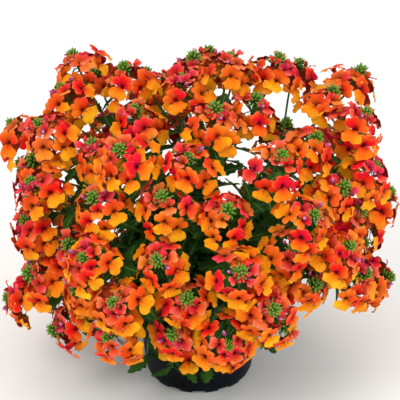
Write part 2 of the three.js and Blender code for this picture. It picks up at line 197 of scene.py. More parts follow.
def branchFrom(parent, share, end, endWay):
    start = parent.at(share)
    way = unit(towards(start, end) + parent.way(share) * stemPlan["branchLean"])
    return StemCurve(start, way, stemPlan["branchBend"], end, endWay, stemPlan["branchBend"])


def makeHead(kind, centre):
    turn = spread(math.pi)
    wobbles = [[spread(jitter) for jitter in heads["jitters"]] for _ in range(kind["blooms"])]
    return {**kind, "centre": centre, "turn": turn, "wobbles": wobbles}


def planSpray(level, place):
    height, wide, deep, count, turn, frontLift, raised = mound["tiers"][level]
    step = wholeTurn / count
    azimuth = math.radians(turn) + place * step + spread(mound["turnJitter"])
    slope = mound["skirtSlope"] * math.cos(azimuth - math.radians(mound["skirtTurn"])) if level == 0 else 0
    atFront = -math.sin(azimuth) > math.cos(mound["hollowHalfAngle"])
    recess = mound["hollowDepth"] if atFront and level == mound["hollowTier"] else 0
    lift = frontLift * max(-math.sin(azimuth), 0) + raised.get(place, 0)
    height = height + slope + lift + spread(mound["placeJitter"])
    recess += spread(mound["placeJitter"])
    main = makeHead(heads["main"], around(azimuth, wide - recess, deep - recess, height))
    wide, deep = wide - mound["sideRecess"], deep - mound["sideRecess"]
    side = makeHead(heads["side"], around(azimuth + step / 2, wide, deep, height - mound["sideDrop"]))
    return {"level": level, "azimuth": azimuth, "main": main, "side": side}


def pushApart(a, b):
    away = b["centre"] - a["centre"]
    if abs(away).max() > a["reach"] + b["reach"] + 2 * heads["halfDepth"]:
        return
    axis = unit((a["centre"] + b["centre"]) / 2 - hub)
    depth = away @ axis
    across = math.sqrt(max(away @ away - depth * depth, 0))
    closeness = math.hypot(across / (a["reach"] + b["reach"]), depth / (2 * heads["halfDepth"]))
    if closeness < 1:
        move = away * mound["pushShare"] * (1 / max(closeness, mound["leastCloseness"]) - 1)
        a["centre"] = a["centre"] - move
        b["centre"] = b["centre"] + move


# Where a bloom of a head is and how it faces, from its angle, ring, lift along the axis and tilt
def headFlower(head, angle, ring, lift, tilt):
    out = turned(head["east"], head["north"], angle)
    return {
        "out": out,
        "face": turned(head["axis"], out, tilt),
        "top": head["axis"] * math.sin(tilt) - out * math.cos(tilt),
        "right": np.cross(head["axis"], out),
        "centre": head["centre"] + out * ring + head["axis"] * lift,
    }


def aimHead(head):
    head["axis"] = unit(towards(hub, head["centre"]) + up * mound["axisLift"])
    head["east"] = unit(np.cross(up, head["axis"]))
    head["north"] = np.cross(head["axis"], head["east"])
    head["foot"] = head["centre"] + head["axis"] * heads["coreBottom"]
    head["flowers"] = []
    for k, (turn, tilt, ring) in enumerate(head["wobbles"]):
        angle = head["turn"] + k * wholeTurn / head["blooms"] + turn
        tilt += heads["faceTilt"]
        head["flowers"].append(headFlower(head, angle, head["ring"] + ring, -heads["ringDrop"], tilt))


def planStalks(spray):
    main, side = spray["main"], spray["side"]
    reach = main["centre"] + (side["centre"] - main["centre"]) * stemPlan["aimShare"] - hub
    spray["reach"] = reach
    spray["way"] = unit(unit(reach) + up * stemPlan["seatLift"])
    spray["seat"] = hub + reach * stemPlan["seatShare"]
    start = spray["seat"] + spray["way"] * gap / 2
    bends = stemPlan["stalkBend"], stemPlan["headBend"]
    spray["stalk"] = StemCurve(start, spray["way"], bends[0], main["foot"], main["axis"], bends[1])
    spray["sideStalk"] = branchFrom(spray["stalk"], stemPlan["sideShare"], side["foot"], side["axis"])
    spray["facing"] = towards(spray["sideStalk"].at(0), spray["sideStalk"].at(1))


def stemIndex(spray):
    turn = (spray["azimuth"] / wholeTurn + 1) % 1
    if spray["level"] >= mound["outerTiers"]:
        return mound["outerStems"] + math.floor(turn * mound["innerStems"])
    return math.floor(turn * mound["outerStems"] + mound["outerShift"]) % mound["outerStems"]


def planStem(members, circle):
    reach = sum(spray["reach"] for spray in members)
    azimuth = math.atan2(reach[1], reach[0])
    foot = around(azimuth, circle, circle, stemPlan["soilHeight"])
    seats = [spray["seat"] - spray["way"] * gap / 2 for spray in members]
    way = members[-1]["way"]
    leader = StemCurve(foot, up, stemPlan["footBend"], seats[-1], way, stemPlan["seatBend"])
    lower = list(zip(members[:-1], seats, stemPlan["shootShares"]))
    shoots = [branchFrom(leader, share, seat, spray["way"]) for spray, seat, share in lower]
    facing = towards(shoots[-1].at(0), seats[len(shoots) - 1])
    return {"leader": leader, "shoots": shoots, "facing": facing, "foot": foot}


# A frame across a stem, whose normal is on the side away from the facing direction
def frameAt(curve, share, facing):
    way = curve.way(share)
    normal = unit(way * (facing @ way) - facing)
    return {"centre": curve.at(share), "way": way, "normal": normal, "binormal": np.cross(way, normal)}


def leafAt(node, length, turn, rise):
    out = turned(node["normal"], node["binormal"], turn)
    blade = unit(out + node["way"] * rise)
    across = unit(np.cross(node["way"], out))
    face = np.cross(blade, across)
    return {"base": node["centre"], "blade": blade, "across": across, "face": face, "length": length}


def leafBeads(leaf):
    shares = np.array(beads["leafShares"])[:, None]
    sag = leaf["face"] * leafPlan["sag"] * leaf["length"] * shares**2
    return leaf["base"] + leaf["blade"] * shares * leaf["length"] - sag


class TakenRoom:
    def __init__(self):
        self.spots, self.radii, self.owners = np.zeros((0, 3)), np.zeros(0), np.zeros(0, int)

    def take(self, spots, radius, owner=0):
        self.spots = np.concatenate([self.spots, spots])
        self.radii = np.concatenate([self.radii, np.full(len(spots), float(radius))])
        self.owners = np.concatenate([self.owners, np.full(len(spots), owner)])

    def takeCurve(self, curve):
        self.take(curve.spots(math.ceil(curve.length() / beads["spacing"])), beads["stalk"], id(curve))

    def isFree(self, leaf, curve):
        others = self.owners != id(curve)
        away = leafBeads(leaf)[:, None, :] - self.spots[others][None, :, :]
        apart = np.linalg.norm(away, axis=2) - self.radii[others][None, :]
        return apart.min() > beads["leaf"] + beads["room"]


def leavesAt(curve, share, facing, taken):
    node = frameAt(curve, share, facing)
    found = []
    for side in range(stemPlan["sides"]):
        length = leafPlan["shortest"] + next(planDraws) * (leafPlan["longest"] - leafPlan["shortest"])
        middle = (side + 0.5) * wholeTurn / stemPlan["sides"]
        ways = [(middle + turn, rise) for rise in leafPlan["rises"] for turn in leafPlan["turns"]]
        options = [leafAt(node, length, turn, rise) for turn, rise in ways]
        clear = [leaf for leaf in options if taken.isFree(leaf, curve)]
        if clear and len(found) < leafPlan["mostAtNode"]:
            found.append(clear[0])
            taken.take(leafBeads(clear[0]), beads["leaf"])
    return found


def planPlant():
    places = [(level, place) for level, tier in enumerate(mound["tiers"]) for place in range(tier[3])]
    sprays = [planSpray(level, place) for level, place in places if (level, place) not in mound["bare"]]
    allHeads = [head for spray in sprays for head in (spray["main"], spray["side"])]
    for _ in range(mound["pushRounds"]):
        for i, a in enumerate(allHeads):
            for b in allHeads[i + 1 :]:
                pushApart(a, b)
    for head in allHeads:
        aimHead(head)
    for spray in sprays:
        planStalks(spray)
    stems = []
    for index in range(mound["outerStems"] + mound["innerStems"]):
        circle = stemPlan["outerCircle"] if index < mound["outerStems"] else stemPlan["innerCircle"]
        stems.append(planStem([spray for spray in sprays if stemIndex(spray) == index], circle))
    taken = TakenRoom()
    for head in allHeads:
        taken.take(np.array([head["centre"]]), beads["core"])
        taken.take(np.array([flower["centre"] for flower in head["flowers"]]), heads["clearance"])
    stalks = [curve for spray in sprays for curve in (spray["stalk"], spray["sideStalk"])]
    for curve in stalks + [curve for stem in stems for curve in (stem["leader"], *stem["shoots"])]:
        taken.takeCurve(curve)
    for spray in sprays:
        spray["leaves"] = leavesAt(spray["stalk"], leafPlan["stalkShare"], spray["facing"], taken)
    for stem in stems:
        stem["leaves"] = leavesAt(stem["leader"], leafPlan["leaderShare"], stem["facing"], taken)
    return sprays, stems


sprays, stems = planPlant()
print("plant planned:", len(sprays), "sprays,", len(stems), "stems")

# Materials: each function adds its nodes and gives the inputs of its shader

paint = {}
colourA, colourB, colourResult = 6, 7, 2  # the colour sockets of a Mix node
rangeEnds = "From Min", "From Max", "To Min", "To Max"  # the inputs of a Map Range node


def linear(hexColour):
    channels = [int(hexColour[i : i + 2], 16) / 255 for i in (1, 3, 5)]
    return [c / 12.92 if c <= 0.04045 else ((c + 0.055) / 1.055) ** 2.4 for c in channels] + [1.0]


# Adds a node and gives its outputs. A name in small letters is a setting of the node, and any other is an
# input, which takes a value or the output that feeds it.
def addNode(material, kind, values):
    node = material.node_tree.nodes.new("ShaderNode" + kind)
    for name, value in values.items():
        if name == "stops":
            while len(node.color_ramp.elements) < len(value):
                node.color_ramp.elements.new(0.5)
            for element, (position, colour) in zip(node.color_ramp.elements, value):
                element.position = position
                element.color = linear(colour)
        elif str(name).islower():
            setattr(node, name, value)
        elif isinstance(value, bpy.types.NodeSocket):
            material.node_tree.links.new(value, node.inputs[name])
        else:
            node.inputs[name].default_value = value
    return node.outputs


def petalTissue(add):
    # Thin petal tissue, matt as fine velvet, with pale rims and a dark maroon underside, partly its own
    # colour and partly painted shade. Young blooms are crimson, old lips golden.
    # Each runs from the throat, 0, to the end of the lobe, 1.
    colourStops = {
        "upper": [(0.04, "#300406"), (0.13, "#8c1008"), (0.27, "#da2a0a"), (0.6, "#f03c10"), (1, "#f65a1e")],
        "warm": [(0.04, "#440606"), (0.13, "#a41e06"), (0.27, "#ea4408"), (0.6, "#f65c0c"), (1, "#f97218")],
        "lip": [(0.04, "#4c0606"), (0.15, "#c43806"), (0.34, "#f2640a"), (0.7, "#f9860e"), (1, "#fa9a1a")],
        "golden": [(0.04, "#601604"), (0.22, "#f27808"), (0.6, "#f99e12"), (1, "#fab424")],
        "young": [(0.04, "#540812"), (0.24, "#bc1822"), (0.62, "#e4383a"), (1, "#f26a6c")],
        # The underside of the petals: partly their own maroon, partly painted shade that darkens it
        "back": [(0.1, "#84122c"), (0.6, "#c03034"), (1.0, "#dc5c28")],
        # The colour of the veins, also used for the painted shade along the lobe sides near the throat
        "vein": [(0.0, "#7c0c08"), (1.0, "#9c1a0c")],
        "rim": [(0.0, "#fa6a48"), (1.0, "#ff8458")],
    }
    settings = {
        "veinsAcross": 5,
        "veinStrength": 0.6,
        "lipVeins": 0.3,
        # How dark the painted shade is along the sides of the lobes near the throat, where they overlap
        "seamShadeStrength": 0.65,
        "rimStrength": 0.45,
        "patchMm": 9,  # how far apart lighter and darker places are
        "toneMm": 26,  # and redder and yellower ones
        "relief": {"Strength": 0.12, "Distance": 0.0002},
        "gloss": {"Roughness": 0.55, "Specular IOR Level": 0.06},
    }
    tissue = add("Attribute", {"attribute_name": "tissue"})
    channels = add("SeparateColor", {"Color": tissue["Color"]})
    radial, across, onLip = (channels[name] for name in ("Red", "Green", "Blue"))
    age = tissue["Alpha"]
    back = add("Attribute", {"attribute_name": "underside"})["Fac"]
    place = add("TexCoord", {})["Object"]
    patch = add("TexNoise", {"Vector": place, "Scale": 1000 / settings["patchMm"], "Detail": 1.0})["Fac"]
    tone = add("TexNoise", {"Vector": place, "Scale": 1000 / settings["toneMm"], "Detail": 0.0})["Fac"]
    offMiddle = add("Math", {"operation": "ABSOLUTE", 0: across})[0]
    halfTurns = wholeTurn * settings["veinsAcross"] / 2
    turns = add("Math", {"operation": "MULTIPLY", 0: across, 1: halfTurns})[0]
    wave = add("Math", {"operation": "COSINE", 0: turns})[0]

    # What each share follows, the range it is read over, and its values at the two ends
    ranges = {
        "warmed": (age, 0.52, 1.0, 0.0, 1.0),
        "ripened": (age, 0.45, 0.95, 0.0, 1.0),
        "stillYoung": (age, 0.12, 0.38, 0.9, 0.0),
        "line": (wave, 0.2, 1.0, 0.0, 1.0),
        "lineFade": (radial, 0.25, 0.95, settings["veinStrength"], 0.0),
        "lipFade": (onLip, 0.0, 1.0, 1.0, settings["lipVeins"]),
        # Where the painted shade of the overlapping lobe sides falls, and how it fades out from the throat
        "nearSide": (offMiddle, 0.55, 0.95, 0.0, 1.0),
        "seamFade": (radial, 0.36, 0.66, settings["seamShadeStrength"], 0.0),
        "sideRim": (offMiddle, 0.62, 1.0, 0.0, 1.0),
        "tipRim": (radial, 0.66, 0.86, 0.0, 1.0),
        "rimFade": (onLip, 0.0, 1.0, settings["rimStrength"], 0.0),
        "behind": (back, 0.55, 0.9, 0.0, 0.8),
        "shade": (patch, 0.3, 0.7, 0.82, 1.04),
        "hue": (tone, 0.3, 0.7, 0.488, 0.518),
    }
    shares = {"onLip": onLip}
    for name, (value, *ends) in ranges.items():
        shares[name] = add("MapRange", {"Value": value, **dict(zip(rangeEnds, ends))})["Result"]

    # Veins run out along each lobe, painted shade darkens its sides near the throat where the lobes overlap,
    # and its rim is paler.
    steps = [
        ("lines", "MULTIPLY", "line", "lineFade"),
        ("veins", "MULTIPLY", "lines", "lipFade"),
        ("seams", "MULTIPLY", "nearSide", "seamFade"),
        ("darkened", "MAXIMUM", "veins", "seams"),
        ("anyRim", "MAXIMUM", "sideRim", "tipRim"),
        ("paled", "MULTIPLY", "anyRim", "rimFade"),
    ]
    for name, operation, first, second in steps:
        shares[name] = add("Math", {"operation": operation, 0: shares[first], 1: shares[second]})[0]

    # Each layer lies over the one before it as far as its share says.
    colours = {}
    for name, stops in colourStops.items():
        colours[name] = add("ValToRGB", {"stops": stops, "Fac": radial})["Color"]
    layers = [
        ("upperLobes", "upper", "warm", "warmed"),
        ("rimmed", "upperLobes", "rim", "paled"),
        ("lipLobes", "lip", "golden", "ripened"),
        ("opened", "rimmed", "lipLobes", "onLip"),
        ("coloured", "opened", "young", "stillYoung"),
        # The veins and the painted shade of the overlapping lobe sides both take the darker vein colour
        ("veined", "coloured", "vein", "darkened"),
        # The back of each petal takes the underside colour, which is partly painted shade
        ("wholePetal", "veined", "back", "behind"),
    ]
    for name, below, above, share in layers:
        inputs = {"Factor": shares[share], colourA: colours[below], colourB: colours[above]}
        colours[name] = add("Mix", {"data_type": "RGBA", **inputs})[colourResult]
    inputs = {"Hue": shares["hue"], "Value": shares["shade"], "Color": colours["wholePetal"]}
    toned = add("HueSaturation", inputs)
    bump = add("Bump", {"Height": shares["line"], **settings["relief"]})
    return {"Base Color": toned["Color"], "Normal": bump["Normal"], **settings["gloss"]}


def leafTissue(add):
    # Leaf with a thin waxy skin: deep green, a paler midrib and side veins, and a lighter matt underside.
    settings = {
        "colours": {
            "blade": [(0.3, "#123409"), (0.5, "#1f4c0c"), (0.7, "#387218")],
            "rib": [(0.0, "#5f9632"), (1.0, "#6ea03c")],
            "underside": [(0.0, "#3f7026"), (1.0, "#527f34")],
        },
        "veinsAlong": 9,
        "veinSlant": 0.35,
        "sideVeins": 0.45,
        "midrib": 0.9,
        "blotchMm": 16,
        "relief": {"Strength": 0.4, "Distance": 0.0003},
        "gloss": {"Roughness": 0.5, "Specular IOR Level": 0.2},
    }
    tissue = add("Attribute", {"attribute_name": "tissue"})
    channels = add("SeparateColor", {"Color": tissue["Color"]})
    back = add("Attribute", {"attribute_name": "underside"})["Fac"]
    place = add("TexCoord", {})["Object"]
    blotch = add("TexNoise", {"Vector": place, "Scale": 1000 / settings["blotchMm"], "Detail": 3.0})["Fac"]
    colours = {}
    for name, stops in settings["colours"].items():
        colours[name] = add("ValToRGB", {"stops": stops, "Fac": blotch})["Color"]
    offMidrib = add("Math", {"operation": "ABSOLUTE", 0: channels["Green"]})[0]
    inputs = {0: offMidrib, 1: -settings["veinSlant"], 2: channels["Red"]}
    slanted = add("Math", {"operation": "MULTIPLY_ADD", **inputs})[0]
    turns = add("Math", {"operation": "MULTIPLY", 0: slanted, 1: wholeTurn * settings["veinsAlong"]})[0]
    wave = add("Math", {"operation": "COSINE", 0: turns})[0]
    ranges = {
        "sideVeins": (wave, 0.8, 1.0, 0.0, settings["sideVeins"]),
        "midrib": (offMidrib, 0.04, 0.14, settings["midrib"], 0.0),
        "behind": (back, 0.55, 0.9, 0.0, 0.7),
    }
    shares = {}
    for name, (value, *ends) in ranges.items():
        shares[name] = add("MapRange", {"Value": value, **dict(zip(rangeEnds, ends))})["Result"]
    shares["ribs"] = add("Math", {"operation": "MAXIMUM", 0: shares["sideVeins"], 1: shares["midrib"]})[0]
    colour = colours["blade"]
    for share, above in (("ribs", "rib"), ("behind", "underside")):
        inputs = {"Factor": shares[share], colourA: colour, colourB: colours[above]}
        colour = add("Mix", {"data_type": "RGBA", **inputs})[colourResult]
    bump = add("Bump", {"invert": True, "Height": shares["ribs"], **settings["relief"]})
    return {"Base Color": colour, "Normal": bump["Normal"], **settings["gloss"]}


def stemTissue(add):
    # Green herb stem, a little glossy, flushed dull red in streaks.
    settings = {
        "stops": [(0.3, "#2f5c18"), (0.6, "#47781f"), (0.78, "#5c3a28")],
        "streakMm": 11,
        "stretch": (1.0, 1.0, 0.25),
        "gloss": {"Roughness": 0.42, "Specular IOR Level": 0.25},
    }
    place = add("TexCoord", {})["Object"]
    stretched = add("Mapping", {"Vector": place, "Scale": settings["stretch"]})["Vector"]
    streak = add("TexNoise", {"Vector": stretched, "Scale": 1000 / settings["streakMm"], "Detail": 2.0})
    colour = add("ValToRGB", {"stops": settings["stops"], "Fac": streak["Fac"]})
    return {"Base Color": colour["Color"], **settings["gloss"]}


def budTissue(add):
    # Flower buds: fresh green sepals, and a flush of mauve where a bud is near to opening.
    settings = {
        "greenStops": [(0.0, "#173a0d"), (0.45, "#447c14"), (0.85, "#74a424"), (1.0, "#5e4420")],
        "ripeStops": [(0.0, "#5f8c30"), (0.25, "#8c2a50"), (0.65, "#b04c88"), (1.0, "#dcaac8")],
        "gloss": {"Roughness": 0.6, "Specular IOR Level": 0.15},
    }
    tissue = add("Attribute", {"attribute_name": "tissue"})
    share = add("SeparateColor", {"Color": tissue["Color"]})["Red"]
    green = add("ValToRGB", {"stops": settings["greenStops"], "Fac": share})["Color"]
    ripe = add("ValToRGB", {"stops": settings["ripeStops"], "Fac": share})["Color"]
    mixed = add("Mix", {"data_type": "RGBA", "Factor": tissue["Alpha"], colourA: green, colourB: ripe})
    return {"Base Color": mixed[colourResult], **settings["gloss"]}


def blackPolypropylene(add):
    # Moulded recycled polypropylene: near black, satin, with a fine pebble and a trace of soil dust.
    settings = {
        "stops": [(0.35, "#080b10"), (0.62, "#0e131a"), (0.8, "#1c1c1b")],
        "pebbleMm": 1.2,
        "dustMm": 25,
        "relief": {"Strength": 0.15, "Distance": 0.0002},
        "gloss": {"Roughness": 0.45, "IOR": 1.49, "Specular IOR Level": 0.06},
    }
    place = add("TexCoord", {})["Object"]
    inputs = {"Vector": place, "Scale": 1000 / settings["dustMm"], "Detail": 6.0, "Roughness": 0.65}
    colour = add("ValToRGB", {"stops": settings["stops"], "Fac": add("TexNoise", inputs)["Fac"]})
    pebble = add("TexNoise", {"Vector": place, "Scale": 1000 / settings["pebbleMm"], "Detail": 2.0})
    bump = add("Bump", {"Height": pebble["Fac"], **settings["relief"]})
    return {"Base Color": colour["Color"], "Normal": bump["Normal"], **settings["gloss"]}


def pottingMix(add):
    # Damp peat and fine bark: dark brown, fully matt, with crumbs of 2 to 4 mm.
    settings = {
        "stops": [(0.3, "#1a110b"), (0.55, "#33231a"), (0.75, "#5a4230")],
        "crumbMm": 3,
        "relief": {"Strength": 0.8, "Distance": 0.001},
        "roughness": 0.95,
    }
    place = add("TexCoord", {})["Object"]
    inputs = {"Vector": place, "Scale": 1000 / settings["crumbMm"], "Detail": 8.0, "Roughness": 0.7}
    crumb = add("TexNoise", inputs)["Fac"]
    colour = add("ValToRGB", {"stops": settings["stops"], "Fac": crumb})
    bump = add("Bump", {"Height": crumb, **settings["relief"]})
    return {"Base Color": colour["Color"], "Normal": bump["Normal"], "Roughness": settings["roughness"]}


def floorPaint(add):
    # Matt white studio sweep.
    return {"Base Color": linear("#f6f6f4"), "Roughness": 0.9}


plantMaterials = [petalTissue, leafTissue, stemTissue, budTissue]
for makeFinish in [*plantMaterials, blackPolypropylene, pottingMix, floorPaint]:
    material = bpy.data.materials.new(makeFinish.__name__)
    material.use_nodes = True
    material.node_tree.nodes.clear()
    shader = addNode(material, "BsdfPrincipled", makeFinish(partial(addNode, material)))
    addNode(material, "OutputMaterial", {"Surface": shader["BSDF"]})
    paint[makeFinish.__name__] = material
print("materials made")


# Surfaces: points in millimetres with their faces, joined into one mesh
class Surface:
    def __init__(self):
        self.points, self.faces, self.kinds, self.tissue, self.underside = [], [], [], [], []
        self.count = 0

    # tissue holds four values a point, and underside is 0 in front, 1 behind and 0.5 on a sharp rim.
    def add(self, points, faces, material=0, tissue=None, underside=None):
        for group in faces:
            self.faces.append(group + self.count)
            self.kinds.append(np.full(len(group), material))
        self.points.append(points)
        self.tissue.append(np.zeros((len(points), 4)) if tissue is None else tissue)
        self.underside.append(np.zeros(len(points)) if underside is None else underside)
        self.count += len(points)

    def build(self, name, materials):
        mesh = bpy.data.meshes.new(name)
        faces = [face for group in self.faces for face in group.tolist()]
        underside = np.concatenate(self.underside)
        mesh.from_pydata(np.concatenate(self.points) * metresPerMm, [], faces)
        mesh.polygons.foreach_set("material_index", np.concatenate(self.kinds).astype(np.int32))
        mesh.validate()
        mesh.shade_smooth()
        tissue = mesh.attributes.new("tissue", "FLOAT_COLOR", "POINT")
        tissue.data.foreach_set("color", np.concatenate(self.tissue).ravel())
        mesh.attributes.new("underside", "FLOAT", "POINT").data.foreach_set("value", underside)
        ends = np.zeros(2 * len(mesh.edges), np.int32)
        mesh.edges.foreach_get("vertices", ends)
        onRim = np.abs(underside[ends.reshape(-1, 2)] - 0.5).max(axis=1) < 0.01
        mesh.attributes.new("sharp_edge", "BOOLEAN", "EDGE").data.foreach_set("value", onRim)
        for material in materials:
            mesh.materials.append(paint[material])
        piece = bpy.data.objects.new(name, mesh)
        bpy.context.scene.collection.objects.link(piece)
        return piece


def evenAngles(count):
    return np.arange(count) * wholeTurn / count


def circleOf(radius, angles, height):
    return np.column_stack([radius * np.cos(angles), radius * np.sin(angles), np.zeros(len(angles)) + height])


# A skin over rings of points, closed by a middle point at its tip, and at its foot unless that is None
def closedRings(rings, foot, tip):
    sides = len(rings[0])
    count = len(rings) * sides
    k = np.arange(sides)
    step = (k + 1) % sides
    band = np.stack([k, step, sides + step, sides + k], axis=1)
    faces = [np.concatenate([band + ring * sides for ring in range(len(rings) - 1)])]
    middles = [tip]
    if foot is not None:
        middles = [foot, tip]
        faces.append(np.stack([step, k, np.full(sides, count)], axis=1))
    last = count - sides
    faces.append(np.stack([last + k, last + step, np.full(sides, count + len(middles) - 1)], axis=1))
    return np.concatenate([*rings, middles]), faces


leafKind, stemKind, budKind = 0, 1, 2  # the places of their materials in a piece of greens


# A closed tube through some spots, with its frames carried along it, and with a radius for each spot or
# two for the ends
def addTube(greens, spots, radii, sides):
    radii = np.linspace(*radii, len(spots)) if len(radii) == 2 else radii
    ways = np.gradient(spots, axis=0)
    ways /= np.linalg.norm(ways, axis=1)[:, None]
    normal = besideOf(ways[0])
    angles = evenAngles(sides)
    rings = []
    for spot, way, radius in zip(spots, ways, radii):
        normal = unit(normal - way * (normal @ way))
        across = np.cross(way, normal)
        rings.append(spot + radius * (np.outer(np.cos(angles), normal) + np.outer(np.sin(angles), across)))
    greens.add(*closedRings(rings, spots[0], spots[-1]), stemKind)


# A thin blade: front and back grids of rings about a middle, which share the rim
def bladeOf(outline, middle, shares, heightAt, thickness):
    sides, inner = len(outline), shares[:-1]
    grid = np.concatenate([middle[None, :], *[middle + (outline - middle) * share for share in inner]])
    sink = np.concatenate([[0.0], np.repeat(inner, sides)])
    flat = np.concatenate([grid, outline, grid])
    share = np.concatenate([sink, np.ones(sides), sink])
    side = np.repeat([1.0, 0.0, -1.0], [len(grid), sides, len(grid)])  # front, rim and back
    height = heightAt(flat[:, 0], flat[:, 1], share) + side * (thickness / 2 * (1 - share**2))
    k = np.arange(sides)
    step = (k + 1) % sides
    faces = []
    for base, order in ((0, 1), (len(grid) + sides, -1)):
        starts = [base + 1 + index * sides for index in range(len(inner))] + [len(grid)]
        fan = np.stack([np.full(sides, base), starts[0] + k, starts[0] + step], axis=1)
        faces.append(fan[:, ::order])
        for low, high in zip(starts, starts[1:]):
            band = np.stack([low + k, high + k, high + step, low + step], axis=1)
            faces.append(band[:, ::order])
    return np.column_stack([flat, height]), faces, (1 - side) / 2


# Blooms

bloomShape = {
    "upperLobes": [
        {"angle": 21, "distance": 6.9, "halfLong": 5.4, "halfWide": 3.7, "forward": -0.5},
        {"angle": 65, "distance": 6.9, "halfLong": 5.2, "halfWide": 3.8, "forward": 0.4},
    ],
    "lobeHeel": 1.2,  # how much longer a lobe is towards the throat
    "lobeBroad": 0.28,  # and how much broader towards its end
    "lobeCrown": 0.9,
    "lobeArch": 0.006,
    "lobeRuffle": 0.65,
    "lobeTurn": 4,
    "lobeLean": (-0.07, 0.03),
    "lobeEdge": (5, 0.02),  # how often and how far the edge waves, besides its three slow waves
    "lipEdge": (7, 0.05),
    "slowEdge": 0.035,
    "lip": {"middle": -7.4, "halfWide": 9.6, "halfLong": 6.7, "notch": 2.0, "forward": 0.3},
    "lipWaist": 0.4,  # how much narrower the lip is towards the throat
    "lipLobes": {"turn": 0.7, "width": 0.4, "long": 0.7},  # the two rounded ends beside the notch
    "notchWidth": 0.3,
    "lipRuffle": 1.1,
    "belly": {"down": 8.5, "size": 4.5, "height": 1.4},
    "lipArch": 0.016,
    "palate": {"apart": 1.9, "down": 3.7, "size": 1.5, "height": 1.5},
    "throatDepth": 2.8,
    "throatWidth": 3.0,
    "thickness": 0.35,
    "tubeRings": [(3.0, -1.5), (2.3, -3.4), (1.3, -6.2)],  # radius and depth, outside
    "tubeInside": [(2.7, -1.3), (1.3, -4.6)],
    "tubeSides": 6,
    "closedWidth": 0.5,  # how much narrower a closed bloom is, and how far its lobes stand forward
    "closedRise": 0.85,
    "span": 14.5,  # the radius at which the colours end
    # Sides of an upper lobe and of the lip, each with the shares of its rings
    "fine": [(14, (0.5, 0.82, 1.0)), (28, (0.4, 0.75, 1.0))],
    "coarse": [(10, (0.62, 1.0)), (16, (0.5, 0.8, 1.0))],
}


def eitherWay(draws, amount):
    return draws.uniform(-amount, amount)


def waveStart(shapes):
    return shapes.uniform(0, wholeTurn)


def wavyEdge(shapes, phi, count, amount):
    slow = bloomShape["slowEdge"] * np.sin(3 * phi + waveStart(shapes))
    return 1 + slow + amount * np.sin(count * phi + waveStart(shapes))


